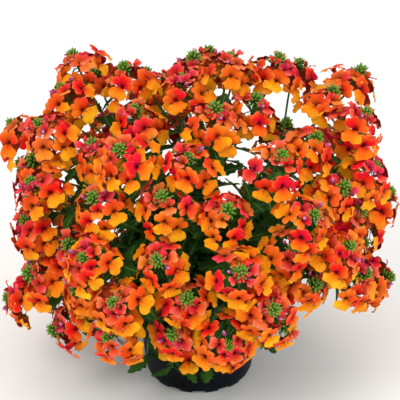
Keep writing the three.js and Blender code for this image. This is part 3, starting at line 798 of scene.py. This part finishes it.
def bloomTemplate(shapes, closing, fineness):
    (lobeSides, lobeShares), (lipSides, lipShares) = bloomShape[fineness]
    bloom = Surface()

    def dip(x, y):
        return -bloomShape["throatDepth"] * np.exp(-(x * x + y * y) / bloomShape["throatWidth"] ** 2)

    # kind is 1 on the lip. A closed bloom is narrower, and its lobes stand forward.
    def addLobe(outline, middle, shares, heightAt, beside, halfWide, kind):
        spots, faces, underside = bladeOf(outline, middle, shares, heightAt, bloomShape["thickness"])
        radius = np.hypot(spots[:, 0], spots[:, 1])
        across = (spots[:, :2] - middle) @ beside / halfWide
        plain = np.zeros(len(spots))
        narrow = 1 - bloomShape["closedWidth"] * closing
        folded = spots * [narrow, narrow, 1.0]
        folded[:, 2] += bloomShape["closedRise"] * closing * radius
        tissue = np.column_stack([radius / bloomShape["span"], across, plain + kind, plain])
        bloom.add(folded, faces, 0, tissue, underside)

    for lobe in bloomShape["upperLobes"]:
        for side in (-1, 1):
            angle = math.radians(lobe["angle"] + eitherWay(shapes, bloomShape["lobeTurn"])) * side
            outward = np.array([math.sin(angle), math.cos(angle)])
            beside = np.array([outward[1], -outward[0]])
            phi = evenAngles(lobeSides)
            edge = wavyEdge(shapes, phi, *bloomShape["lobeEdge"])
            heel = np.where(np.cos(phi) < 0, bloomShape["lobeHeel"], 1.0)
            long = lobe["halfLong"] * np.cos(phi) * heel * edge
            wide = lobe["halfWide"] * np.sin(phi) * (1 + bloomShape["lobeBroad"] * np.cos(phi)) * edge
            middle = outward * lobe["distance"]
            outline = middle + np.outer(long, outward) + np.outer(wide, -beside)
            lean, wave = shapes.uniform(*bloomShape["lobeLean"]), waveStart(shapes)

            def lobeHeight(x, y, share):
                radius = np.hypot(x, y)
                turn = np.arctan2(y - middle[1], x - middle[0])
                ruffle = bloomShape["lobeRuffle"] * share**3 * np.sin(3 * turn + wave)
                crown = bloomShape["lobeCrown"] * (1 - share**2) - bloomShape["lobeArch"] * radius**2
                return dip(x, y) + lean * radius + crown + ruffle + lobe["forward"]

            addLobe(outline, middle, lobeShares, lobeHeight, beside, lobe["halfWide"], 0)

    lip, ends, belly, palate = (bloomShape[name] for name in ("lip", "lipLobes", "belly", "palate"))
    phi = evenAngles(lipSides)
    fromNotch = np.abs((phi - math.pi / 2) % wholeTurn - math.pi)
    waist = np.where(np.sin(phi) > 0, 1 - bloomShape["lipWaist"] * np.sin(phi), 1.0)
    edge = wavyEdge(shapes, phi, *bloomShape["lipEdge"])
    x = lip["halfWide"] * np.cos(phi) * waist * edge
    y = lip["middle"] + lip["halfLong"] * np.sin(phi) * edge
    notch = lip["notch"] * np.exp(-((fromNotch / bloomShape["notchWidth"]) ** 2))
    y += notch - ends["long"] * np.exp(-(((fromNotch - ends["turn"]) / ends["width"]) ** 2))
    lipWave = waveStart(shapes)

    def lipHeight(x, y, share):
        turn = np.arctan2(y - lip["middle"], x)
        boss = ((np.abs(x) - palate["apart"]) ** 2 + (y + palate["down"]) ** 2) / palate["size"] ** 2
        ruffle = bloomShape["lipRuffle"] * share**4 * np.sin(6 * turn + lipWave)
        swell = belly["height"] * np.exp(-(((y + belly["down"]) / belly["size"]) ** 2))
        swell -= bloomShape["lipArch"] * x * x
        return dip(x, y) + palate["height"] * np.exp(-boss) + ruffle + swell + lip["forward"]

    middle = np.array([0.0, lip["middle"]])
    beside = np.array([1.0, 0.0])
    addLobe(np.column_stack([x, y]), middle, lipShares, lipHeight, beside, lip["halfWide"], 1)

    angles = evenAngles(bloomShape["tubeSides"])
    for name, outside in (("tubeRings", 1), ("tubeInside", 0)):
        rings = [circleOf(radius, angles, depth) for radius, depth in bloomShape[name]]
        points, faces = closedRings(rings, None, up * bloomShape[name][-1][1])
        faces = [group[:, :: 1 - 2 * outside] for group in faces]
        tissue = np.outer(np.full(len(points), 0.5 * outside), [1, 0, 0, 0])
        bloom.add(points, faces, 0, tissue, np.full(len(points), float(outside)))
    points, tissue, underside = map(np.concatenate, (bloom.points, bloom.tissue, bloom.underside))
    return points, bloom.faces, tissue, underside


shapeDraws = random.Random(5)
openClosing = (0, 0.12)
openBlooms = [bloomTemplate(shapeDraws, shapeDraws.uniform(*openClosing), "fine") for _ in range(6)]
youngBlooms = [bloomTemplate(shapeDraws, closing, "coarse") for closing in (0.1, 0.25, 0.45, 0.7)]
lateBlooms = [bloomTemplate(shapeDraws, shapeDraws.uniform(*openClosing), "coarse") for _ in range(3)]


def addBloom(petals, template, flower, size, age):
    points, faces, tissue, underside = template
    axes = np.array([flower["right"], flower["top"], flower["face"]])
    aged = tissue.copy()
    aged[:, 3] = age
    petals.add(flower["centre"] + size * points @ axes, faces, 0, aged, underside)


# Buds, sepals and stalks of a head

rosetteShape = {
    "buds": {"main": 30, "side": 26},
    "sizes": (0.9, 1.25),
    "top": 11,
    "fall": 7.5,  # how much lower than the top bud the lowest stands
    "leans": (0.12, 1.3, 0.1),  # of the top bud, how much more the lowest leans, and the jitter
    "coreHeights": (-8, -4, 0, 4),  # and the rosette's top
    "coreRadii": (1.25, 1.2, 1.2, 1.2, 0.7),
    "goldenAngle": 2.39996,
    "lengths": (4.2, 8.6),
    "lengthJitter": (0.85, 1.12),
    "width": 2.5,
    "widthJitter": (0.85, 1.15),
    "ripeness": (0, 0.15),
}

mauveBuds = {
    "counts": (0, 1, 1, 2),
    "turns": (0, 0.8),
    "out": (8, 11),
    "rise": (4, 7),
    "tilts": (0.5, 1.2),
    "lengths": (6, 9),
    "widths": (3.6, 4.8),
    "stalkRadius": 0.35,
}

headDetail = {
    "pedicelRadius": 0.42,
    "pedicelRise": 0.5,  # how much a flower stalk rises as it leaves the axis
    "pedicelFlare": 1.15,
    "pedicelBends": (0.45, 0.35),
    "pedicelEnd": 6.4,  # how far behind the face of a bloom its stalk ends
    "stalkEdge": 0.8,  # how far from the axis buds and flower stalks start
    "sepal": (1.5, 1.5, 4.2),
    "sepalOut": 0.7,
    "sepalSplay": 0.55,
    "calyxDepth": 6.6,
    # Rolls and leans are either way, in radians. Root is how high on the axis the flower stalks leave it.
    "open": {"roll": 0.6, "lean": 0.32, "out": (-2.5, 5), "rise": (-4, 3), "sizes": (0.9, 1.1), "root": -5},
    "openAge": {"middle": 0.6, "spread": 0.32, "least": 0.15, "atHeight": 180, "per100": 0.1, "up": 0.2},
    "young": {"roll": 0.5, "lean": 0.2, "turn": 0.15, "sizes": (0.72, 0.92), "ages": (0.0, 0.55), "root": -1},
    # The more closed a young bloom is, from 0 to 3, the nearer the axis, steeper and redder it is.
    "youngRing": {"radius": 11.5, "spread": 0.6, "lift": 3.0, "tilt": 0.6},
    "youngStep": {"radius": 1.4, "tilt": 0.1, "age": 0.25},
    # Older blooms that stand below the ring, between its blooms
    "late": {"roll": 0.5, "lean": 0.25, "turn": 0.25, "sizes": (0.9, 1.1), "ages": (0.5, 1), "root": -8},
    "lateRing": {"count": 4, "out": (-2, 7), "drops": (6, 16), "tilts": (1.0, 1.5)},
}


def budTemplate():
    profile = [(0.3, 0.0), (0.5, 0.35), (0.34, 0.68)]
    rings = [circleOf(radius, evenAngles(5), height) for radius, height in profile]
    return closedRings(rings, np.zeros(3), up)


budPoints, budFaces = budTemplate()
sepalPoints = np.array([[0.5, 0, 0.4], [-0.25, 0.43, 0.4], [-0.25, -0.43, 0.4], [0, 0, 0], [0, 0, 1.0]])
sepalFaces = [np.array([[1, 0, 3], [2, 1, 3], [0, 2, 3], [0, 1, 4], [1, 2, 4], [2, 0, 4]])]
sepalTissue = np.column_stack([sepalPoints[:, 2] * 0.6, np.zeros((5, 3))])


def basisOf(direction):
    side = besideOf(direction)
    return np.array([side, np.cross(direction, side), direction])


def addBud(greens, base, direction, length, width, ripeness):
    points = base + (budPoints * [width, width, length]) @ basisOf(direction)
    plain = np.zeros(len(points))
    tissue = np.column_stack([budPoints[:, 2], plain, plain, plain + ripeness])
    greens.add(points, budFaces, budKind, tissue)


def addPedicel(greens, start, startWay, end, endWay, radius):
    bends = headDetail["pedicelBends"]
    curve = StemCurve(start, startWay, bends[0], end, endWay, bends[1])
    addTube(greens, curve.spots(4), (radius, radius * headDetail["pedicelFlare"]), 3)


# Five narrow sepals round the tube of a bloom
def addCalyx(greens, flower, size):
    for angle in (np.arange(5) + 0.5) * wholeTurn / 5:
        out = turned(flower["right"], flower["top"], angle)
        base = flower["centre"] - flower["face"] * headDetail["calyxDepth"] * size
        base = base + out * headDetail["sepalOut"] * size
        axes = basisOf(unit(flower["face"] + out * headDetail["sepalSplay"]))
        points = base + (sepalPoints * headDetail["sepal"] * size) @ axes
        greens.add(points, sepalFaces, budKind, sepalTissue)


# A bloom turned a little about its own face and leaned to one side
def loosened(flower, detail, draws):
    roll, lean = eitherWay(draws, detail["roll"]), eitherWay(draws, detail["lean"])
    right = turned(flower["right"], flower["top"], roll)
    face = unit(flower["face"] + right * lean)
    right = unit(right - face * (face @ right))
    return {**flower, "right": right, "top": np.cross(face, right), "face": face}


def addStalkedBloom(petals, greens, head, flower, template, size, age, root):
    addBloom(petals, template, flower, size, age)
    addCalyx(greens, flower, size)
    start = head["centre"] + head["axis"] * root + flower["out"] * headDetail["stalkEdge"]
    end = flower["centre"] - flower["face"] * headDetail["pedicelEnd"] * size
    way = unit(flower["out"] + head["axis"] * headDetail["pedicelRise"])
    addPedicel(greens, start, way, end, flower["face"], headDetail["pedicelRadius"])


def addHeadBlooms(petals, greens, head, draws):
    step = wholeTurn / head["blooms"]
    gaps = range(head["blooms"])
    kind, ages = headDetail["open"], headDetail["openAge"]
    high = (head["centre"][2] - ages["atHeight"]) / 100
    for flower in head["flowers"]:
        age = ages["middle"] - ages["per100"] * high - ages["up"] * flower["out"][2]
        age += eitherWay(draws, ages["spread"])
        flower = loosened(flower, kind, draws)
        shift = flower["out"] * draws.uniform(*kind["out"]) + head["axis"] * draws.uniform(*kind["rise"])
        flower["centre"] = flower["centre"] + shift
        size, template = draws.uniform(*kind["sizes"]), draws.choice(openBlooms)
        age = min(max(age, ages["least"]), 1)
        addStalkedBloom(petals, greens, head, flower, template, size, age, kind["root"])
    kind, ring, less = (headDetail[name] for name in ("young", "youngRing", "youngStep"))
    for k in sorted(draws.sample(gaps, head["blooms"] - 1)):
        angle = head["turn"] + (k + 0.5) * step + eitherWay(draws, kind["turn"])
        closing = draws.randrange(len(youngBlooms))
        radius = ring["radius"] - less["radius"] * closing + eitherWay(draws, ring["spread"])
        tilt = ring["tilt"] - less["tilt"] * closing
        flower = loosened(headFlower(head, angle, radius, ring["lift"] + closing, tilt), kind, draws)
        size = draws.uniform(*kind["sizes"])
        age = draws.uniform(*kind["ages"]) * (1 - less["age"] * closing)
        addStalkedBloom(petals, greens, head, flower, youngBlooms[closing], size, age, kind["root"])
    kind, ring = headDetail["late"], headDetail["lateRing"]
    for k in sorted(draws.sample(gaps, ring["count"])):
        angle = head["turn"] + (k + 0.5) * step + eitherWay(draws, kind["turn"])
        radius = head["ring"] + draws.uniform(*ring["out"])
        tilt = draws.uniform(*ring["tilts"])
        flower = headFlower(head, angle, radius, -draws.uniform(*ring["drops"]), tilt)
        flower = loosened(flower, kind, draws)
        size, template = draws.uniform(*kind["sizes"]), draws.choice(lateBlooms)
        age = draws.uniform(*kind["ages"])
        addStalkedBloom(petals, greens, head, flower, template, size, age, kind["root"])


# A spiky dome of pointed buds round the tip of the stalk, with up to two mauve ones beside it
def addRosette(greens, head, count, draws):
    axis, edge = head["axis"], headDetail["stalkEdge"]
    scale = draws.uniform(*rosetteShape["sizes"])
    top = rosetteShape["top"] * scale - 1
    core = np.array([head["centre"] + axis * height for height in (*rosetteShape["coreHeights"], top)])
    addTube(greens, core, rosetteShape["coreRadii"], 6)
    shortest, longest = rosetteShape["lengths"]
    leastLean, moreLean, leanJitter = rosetteShape["leans"]
    for i in range(count):
        share = (i + 0.5) / count
        angle = head["turn"] + i * rosetteShape["goldenAngle"]
        out = turned(head["east"], head["north"], angle)
        way = turned(axis, out, leastLean + moreLean * math.sqrt(share) + eitherWay(draws, leanJitter))
        base = head["centre"] + axis * (top - rosetteShape["fall"] * scale * share) + out * edge
        length = (shortest + (longest - shortest) * math.sqrt(share)) * scale
        length *= draws.uniform(*rosetteShape["lengthJitter"])
        width = rosetteShape["width"] * scale * draws.uniform(*rosetteShape["widthJitter"])
        addBud(greens, base, way, length, width, draws.uniform(*rosetteShape["ripeness"]))
    for k in range(draws.choice(mauveBuds["counts"])):
        angle = head["turn"] + (k + draws.uniform(*mauveBuds["turns"])) * math.pi
        places = [draws.uniform(*mauveBuds[name]) for name in ("out", "rise", "tilts")]
        flower = headFlower(head, angle, *places)
        foot = head["centre"] + axis * 2 + flower["out"] * 1.5
        addPedicel(greens, foot, flower["out"], flower["centre"], flower["face"], mauveBuds["stalkRadius"])
        length, width = draws.uniform(*mauveBuds["lengths"]), draws.uniform(*mauveBuds["widths"])
        addBud(greens, flower["centre"], flower["face"], length, width, 1.0)


# Leaves

leafShape = {
    "widths": [0.3, 0.62, 0.86, 1.0, 0.94, 0.8, 0.62, 0.42, 0.2],
    "columns": [-1, -0.5, 0, 0.5, 1],
    "tooth": 0.16,
    "toothReach": 0.045,
    "fold": 0.3,  # how far the edges stand above the midrib, as a share of the half width
    "ripple": 0.08,
    "thickness": 0.4,
    "sag": leafPlan["sag"],
    "curl": 0.064,  # how much more than that a leaf bends down, and how that varies
    "curlShares": (0.6, 1.5),
    "turnJitter": 0.2,
    "rises": (0.35, 0.9),
    "halfWidths": (0.2, 0.27),
}


# A leaf of length 1 and half width 1 lies along +Y. Each row has its edges, a middle line and two between.
def leafTemplate(shapes):
    stations, columns = len(leafShape["widths"]), len(leafShape["columns"])
    curl = leafShape["curl"] * shapes.uniform(*leafShape["curlShares"])
    ripple = np.repeat([eitherWay(shapes, leafShape["ripple"]) for _ in range(stations)], columns)
    row = np.repeat(np.arange(stations), columns)
    column = np.tile(leafShape["columns"], stations)
    toothed = row % 2 == 1
    widths = np.repeat(leafShape["widths"], columns) * (1 + leafShape["tooth"] * np.where(toothed, 1, -1))
    across = column * widths
    along = 0.05 + 0.9 * row / (stations - 1) + leafShape["toothReach"] * np.abs(column) * toothed
    height = leafShape["fold"] * np.abs(across) + ripple * np.trunc(column)  # only the edges ripple
    flat = np.concatenate([np.column_stack([across, along, height]), [[0, 0, 0], [0, 1, 0]]])
    column = np.concatenate([column, [0, 0]])
    inner = np.abs(column) < 0.9
    inner[-2:] = False
    backIndex = np.arange(len(flat))
    backIndex[inner] = len(flat) + np.arange(inner.sum())
    low = (np.arange(stations - 1)[:, None] * columns + np.arange(columns - 1)).ravel()
    quads = np.stack([low, low + 1, low + columns + 1, low + columns], axis=1)
    foot, tip, top = len(flat) - 2, len(flat) - 1, (stations - 1) * columns
    cells = range(columns - 1)
    triangles = np.array([[foot, c + 1, c] for c in cells] + [[tip, top + c, top + c + 1] for c in cells])
    return {
        "points": np.concatenate([flat, flat[inner]]),
        "faces": [quads, triangles, backIndex[quads][:, ::-1], backIndex[triangles][:, ::-1]],
        "underside": np.concatenate([np.where(inner, 0, 0.5), np.ones(inner.sum())]),
        "columns": np.concatenate([column, column[inner]]),
        "sink": np.repeat([0, 1], [len(flat), inner.sum()]),
        "curl": curl,
    }


leafTemplates = [leafTemplate(shapeDraws) for _ in range(5)]


def addLeaf(greens, leaf, template, halfWidthShare=leafPlan["halfWidthShare"]):
    halfWidth = leaf["length"] * halfWidthShare
    points = template["points"]
    share = points[:, 1]
    lift = points[:, 2] * halfWidth - (leafShape["sag"] + template["curl"]) * leaf["length"] * share**2
    lift -= leafShape["thickness"] * template["sink"]
    local = np.column_stack([-points[:, 0] * halfWidth, share * leaf["length"], lift])
    axes = np.array([leaf["across"], leaf["blade"], leaf["face"]])
    plain = np.zeros(len(share))
    tissue = np.column_stack([share, template["columns"], plain, plain])
    greens.add(leaf["base"] + local @ axes, template["faces"], leafKind, tissue, template["underside"])


# Opposite pairs along a stem, each pair a quarter turn from the last
def addLeafPairs(greens, curve, shares, lengths, draws):
    turn = draws.uniform(0, math.pi)
    for share in shares:
        way = curve.way(share)
        side = besideOf(way)
        node = {"centre": curve.at(share), "way": way, "normal": side, "binormal": np.cross(way, side)}
        for half in (0, math.pi):
            length = draws.uniform(*lengths)
            angle = turn + half + eitherWay(draws, leafShape["turnJitter"])
            leaf = leafAt(node, length, angle, draws.uniform(*leafShape["rises"]))
            addLeaf(greens, leaf, draws.choice(leafTemplates), draws.uniform(*leafShape["halfWidths"]))
        turn += math.pi / 2


# Sprays: petals in one piece, and stalks, leaves and buds in another

sprayDetail = {
    "stalkShares": [0.1, 0.22, 0.36, 0.5, 0.64, 0.8],
    "sideShares": [0.2, 0.45, 0.7],
    "openLevel": 3,  # from this tier up the stalks carry fewer leaves, and light shows between the heads
    "openShares": [0.3],
    "leafLengths": (17, 30),
    "stalkRadii": (1.35, 1.05),
    "sideRadii": (1.2, 0.95),
}

# The materials and the slot of each kind of piece
finishes = {
    "petals": (["petalTissue"], "petal_orange"),
    "greens": (["leafTissue", "stemTissue", "budTissue"], "stem_green"),
    "pot": (["blackPolypropylene"], "pot_plastic"),
    "soil": (["pottingMix"], "potting_soil"),
}
madePieces = []


def dress(surface, name, node, finish):
    materials, slot = finishes[finish]
    piece = surface.build(name, materials)
    madePieces.append(piece)
    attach(piece, "root")
    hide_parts(node)
    return piece


def makeSpray(spray, node, draws):
    petals, greens = Surface(), Surface()
    addTube(greens, spray["stalk"].spots(14), sprayDetail["stalkRadii"], 7)
    addTube(greens, spray["sideStalk"].spots(10), sprayDetail["sideRadii"], 7)
    shares = sprayDetail["stalkShares"], sprayDetail["sideShares"]
    if spray["level"] >= sprayDetail["openLevel"]:
        shares = sprayDetail["openShares"], sprayDetail["openShares"]
    addLeafPairs(greens, spray["stalk"], shares[0], sprayDetail["leafLengths"], draws)
    addLeafPairs(greens, spray["sideStalk"], shares[1], sprayDetail["leafLengths"], draws)
    for leaf in spray["leaves"]:
        addLeaf(greens, leaf, draws.choice(leafTemplates))
    for kind in ("main", "side"):
        addHeadBlooms(petals, greens, spray[kind], draws)
        addRosette(greens, spray[kind], rosetteShape["buds"][kind], draws)
    dress(petals, node + ".petals", node, "petals")
    dress(greens, node + ".greens", node, "greens")


sprayDraws = random.Random(11)
for index, spray in enumerate(sprays):
    makeSpray(spray, f"flower_spray_{index + 1:02d}", sprayDraws)
print("sprays made")

# Leafy stems, and shoots that hang over the pot's rim

stemDetail = {
    "rootDepth": 12,
    "leafSpacing": 13,
    "leafLengths": (20, 34),
    "leaderRadii": (2.4, 1.4),
    "leaderBare": 0.12,  # how much of the leader, and of a shoot, has no leaves
    "shootRadii": (1.6, 1.35),
    "shootBare": 0.25,
}

hangingShoots = {
    # How far round its tip is, how far out and how high, and where its blooms are
    "tips": [
        (-128, 80, 52, []),
        (-109, 78, 46, [0.72]),
        (-98, 80, 50, [0.62, 0.84]),
        (-84, 78, 50, [0.8]),
        (-66, 78, 62, [0.74]),
        (-40, 82, 68, []),
        (-52, 97, 86, []),
        (-8, 112, 104, []),
        (22, 90, 70, []),
        (52, 98, 82, []),
        (66, 106, 108, []),
        (80, 90, 66, []),
        (106, 98, 84, []),
        (134, 90, 68, []),
        (164, 98, 82, []),
        (-172, 112, 102, []),
        (-158, 92, 74, []),
    ],
    "start": 0.12,  # where a shoot leaves its stem
    "bends": (0.75, 0.45),
    "radii": (1.4, 0.8),
    "leafShares": (0.42, 0.6, 0.8, 0.98),
    "leafLengths": (20, 30),
    "bloomOut": 15,
    "bloomAside": 5,
    "bloomRises": (0.15, 0.5),
    "bloomAges": (0.5, 0.9),
    "pedicelStart": 0.1,  # how far above its bloom a flower stalk leaves the shoot
    "pedicelRadius": 0.45,
}


def addHangingShoot(petals, greens, stem, tip, draws):
    azimuth, reach, height, blooms = tip
    shape, azimuth = hangingShoots, math.radians(azimuth)
    out = around(azimuth, 1, 1, 0)
    start, end = stem["leader"].at(shape["start"]), around(azimuth, reach, reach, height)
    bends = shape["bends"]
    curve = StemCurve(start, unit(out + up), bends[0], end, unit(out * 0.15 - up), bends[1])
    addTube(greens, curve.spots(12), shape["radii"], 6)
    addLeafPairs(greens, curve, shape["leafShares"], shape["leafLengths"], draws)
    for share in blooms:
        side = np.cross(up, out) * eitherWay(draws, shape["bloomAside"])
        face = unit(out + up * draws.uniform(*shape["bloomRises"]) + side * 0.03)
        right = unit(np.cross(up, face))
        centre = curve.at(share) + out * shape["bloomOut"] + side
        flower = {"face": face, "right": right, "top": np.cross(face, right), "centre": centre}
        addBloom(petals, draws.choice(openBlooms), flower, 1.0, draws.uniform(*shape["bloomAges"]))
        addCalyx(greens, flower, 1.0)
        root = share - shape["pedicelStart"]
        end = centre - face * headDetail["pedicelEnd"]
        addPedicel(greens, curve.at(root), curve.way(root), end, face, shape["pedicelRadius"])


# The stem of the outer circle whose foot is nearest to a direction
def nearestStem(azimuth):
    way = around(math.radians(azimuth), 1, 1, 0)
    return max(range(mound["outerStems"]), key=lambda index: stems[index]["foot"] @ way)


def makeStem(index, node, draws):
    stem, petals, greens = stems[index], Surface(), Surface()
    leader = np.concatenate([[stem["foot"] - up * stemDetail["rootDepth"]], stem["leader"].spots(16)])
    thick, thin = stemDetail["leaderRadii"]
    addTube(greens, leader, [thick, *np.linspace(thick, thin, len(leader) - 1)], 8)
    for curve in stem["shoots"]:
        addTube(greens, curve.spots(9), stemDetail["shootRadii"], 7)
    for curve in (stem["leader"], *stem["shoots"]):
        first = stemDetail["leaderBare"] if curve is stem["leader"] else stemDetail["shootBare"]
        count = max(round(curve.length() * (1 - first) / stemDetail["leafSpacing"]), 1)
        shares = [first + (1 - first) * (k + 0.5) / count for k in range(count)]
        addLeafPairs(greens, curve, shares, stemDetail["leafLengths"], draws)
    for tip in hangingShoots["tips"]:
        if nearestStem(tip[0]) == index:
            addHangingShoot(petals, greens, stem, tip, draws)
    for leaf in stem["leaves"]:
        addLeaf(greens, leaf, draws.choice(leafTemplates))
    dress(greens, node + ".greens", node, "greens")
    if petals.count:
        dress(petals, node + ".petals", node, "petals")


stemDraws = random.Random(23)
for index in range(len(stems)):
    makeStem(index, f"leafy_stem_{index + 1:02d}", stemDraws)
print("stems made")

# Pot

potShape = {
    "footRadius": 47.8,
    "chamferRadius": 50.8,
    "chamferHeight": 7,
    "wallTopRadius": 60,
    "bandHeight": 84,
    "rimRadius": 62,
    "height": 95,
    "wall": 1.6,
    "floor": 2,
    "notches": 12,
    "notchHeight": 3,
    "notchDegrees": 15,
    "notchInner": 41,
    "lipRound": 0.8,
    "sharpAngle": 40,
}


def makePot():
    radii = "footRadius", "chamferRadius", "wallTopRadius", "rimRadius", "notchInner"
    foot, chamfer, wallTop, rim, notch = (potShape[name] for name in radii)
    heights = "floor", "chamferHeight", "bandHeight", "height", "notchHeight"
    floor, low, band, top, lifted = (potShape[name] for name in heights)
    wall, lipRound, notches = potShape["wall"], potShape["lipRound"], potShape["notches"]
    half, between = potShape["notchDegrees"] / 2, 360 / notches
    inside, outside = np.linspace(-half, half, 7), np.linspace(half + 0.4, between - half - 0.4, 7)
    middles = 90 + np.arange(notches) * between
    angles = np.radians((middles[:, None] + np.concatenate([inside, outside])).ravel())
    inNotch = np.tile(np.repeat([True, False], 7), notches)
    # Radius, height, and the height inside a notch where that is another
    profile = [
        (notch - 1, 0),
        (notch, 0),
        (notch + 0.2, 0, lifted),
        (foot - 0.6, 0, lifted),
        (foot, 0.5, lifted),
        (foot + 1.4, lifted + 0.2),
        (chamfer - 0.4, low - 0.8),
        (chamfer + 0.1, low + 0.8),
        (wallTop - 0.1, band - 0.6),
        (wallTop + 0.3, band),
        (rim - 0.4, band + 0.6),
        (rim, band + 1.4),
        (rim, top - lipRound),
        (rim - 0.3, top - 0.2),
        (rim - wall / 2, top),
        (rim - wall + 0.2, top - 0.3),
        (rim - wall, top - lipRound - 0.3),
        (wallTop - wall, band),
        (chamfer - wall, low),
        (foot - wall - 1, floor + 2),
    ]
    rings = [circleOf(row[0], angles, np.where(inNotch, row[-1], row[1])) for row in profile]
    surface = Surface()
    surface.add(*closedRings(rings, np.zeros(3), up * (floor + 2)))
    piece = dress(surface, "nurseryPot", "pot", "pot")
    piece.data.set_sharp_from_angle(angle=math.radians(potShape["sharpAngle"]))


makePot()
print("pot made")

# Soil

soilShape = {
    "height": 86,
    "topRadius": 58.2,
    "bottomRadius": 45,
    "bottom": 5,
    "bump": 0.8,
    "sides": 60,
    "rings": 14,
    "crumbs": 420,
    "crumbSizes": (1.2, 3.2),
}


def makeSoil(draws):
    surface, shape = Surface(), soilShape
    angles, top = evenAngles(shape["sides"]), shape["height"]
    rings = [circleOf(shape["bottomRadius"], angles, shape["bottom"])]
    rings.append(circleOf(shape["topRadius"], angles, top - 1.5))
    for radius in np.linspace(shape["topRadius"] - 0.8, 4, shape["rings"]):
        bumps = np.array([draws.uniform(-1, 1) for _ in angles]) * shape["bump"]
        rings.append(circleOf(radius, angles, top - 0.8 + bumps))
    surface.add(*closedRings(rings, up * shape["bottom"], up * (top - 0.5)))
    for _ in range(shape["crumbs"]):
        azimuth = draws.uniform(0, wholeTurn)
        radius = (shape["topRadius"] - 3) * math.sqrt(draws.random())
        size = draws.uniform(*shape["crumbSizes"])
        centre = around(azimuth, radius, radius, top + draws.uniform(-0.6, 0.3) * size)
        way = unit(np.array([draws.gauss(0, 1), draws.gauss(0, 1), draws.gauss(0, 0.4)]))
        stretch = [size * draws.uniform(0.8, 1.4), size, size * draws.uniform(0.9, 1.6)]
        jitter = np.array([[draws.uniform(-0.15, 0.15) * size for _ in range(3)] for _ in budPoints])
        surface.add(centre + ((budPoints - up / 2) * stretch + jitter) @ basisOf(way), budFaces)
    dress(surface, "pottingSoil", "soil", "soil")


makeSoil(random.Random(31))
print("soil made")

# Camera, light and floor

view = {
    "mmPerPixel": 0.94,
    "elevation": 30,
    "distance": 3.0,
    "imageSide": 400,
    "middleColumn": 199,  # the pot's axis in the photograph
    "baseRow": 371,  # the middle of the pot's foot
    "sensor": 36,
    "clipStart": 0.05,
}

studio = {
    "worldStrength": 0.8,
    # Place, target, width, watts and colour, in metres
    "lights": {
        "keyLight": ((-0.9, -1.3, 1.7), (0, 0, 0.15), 0.9, 16, (1.0, 0.99, 0.97)),
        "fillLight": ((1.4, -0.9, 0.9), (0, 0, 0.15), 1.2, 9, (0.98, 0.99, 1.0)),
        "overheadLight": ((0, 0.3, 4.5), (0, 0, 0), 9.0, 68, (1.0, 1.0, 1.0)),
    },
    "floorHalf": 15.0,
}


def addToScene(name, data):
    thing = bpy.data.objects.new(name, data)
    bpy.context.scene.collection.objects.link(thing)
    return thing


def placeCamera():
    elevation, middle = math.radians(view["elevation"]), view["imageSide"] / 2
    pixels = middle, middle - view["middleColumn"], view["baseRow"] - middle
    halfWidth, right, height = (count * view["mmPerPixel"] * metresPerMm for count in pixels)
    target = np.array([right, 0.0, height / math.cos(elevation)])
    data = bpy.data.cameras.new("camera")
    data.sensor_width = view["sensor"]
    data.lens = view["sensor"] * view["distance"] / (2 * halfWidth)
    data.clip_start = view["clipStart"]
    camera = addToScene("camera", data)
    camera.location = target + np.array([0.0, -math.cos(elevation), math.sin(elevation)]) * view["distance"]
    camera.rotation_euler = (math.pi / 2 - elevation, 0, 0)
    bpy.context.scene.camera = camera


def placeLight(name, location, target, size, watts, colour):
    data = bpy.data.lights.new(name, "AREA")
    data.shape = "DISK"
    data.size = size
    data.energy = watts
    data.color = colour
    light = addToScene(name, data)
    light.location = location
    way = np.array(target) - np.array(location)
    tilt = math.atan2(math.hypot(way[0], way[1]), -way[2])
    light.rotation_euler = (tilt, 0, math.atan2(way[1], way[0]) - math.pi / 2)


def makeStudio():
    world = bpy.data.worlds.new("studio")
    bpy.context.scene.world = world
    world.use_nodes = True
    background = world.node_tree.nodes["Background"]
    background.inputs["Color"].default_value = (1, 1, 1, 1)
    background.inputs["Strength"].default_value = studio["worldStrength"]
    for name, light in studio["lights"].items():
        placeLight(name, *light)
    mesh = bpy.data.meshes.new("floor")
    side = studio["floorHalf"]
    corners = [(-side, -side, 0), (side, -side, 0), (side, side, 0), (-side, side, 0)]
    mesh.from_pydata(corners, [], [(0, 1, 2, 3)])
    mesh.materials.append(paint["floorPaint"])
    floor = addToScene("floor", mesh)
    bpy.context.scene.view_settings.view_transform = "Standard"


placeCamera()
makeStudio()
print("studio made")

counts = [sum(len(face.vertices) - 2 for face in piece.data.polygons) for piece in madePieces]
print("triangles:", sum(counts), "in all,", max(counts), "in the largest piece")
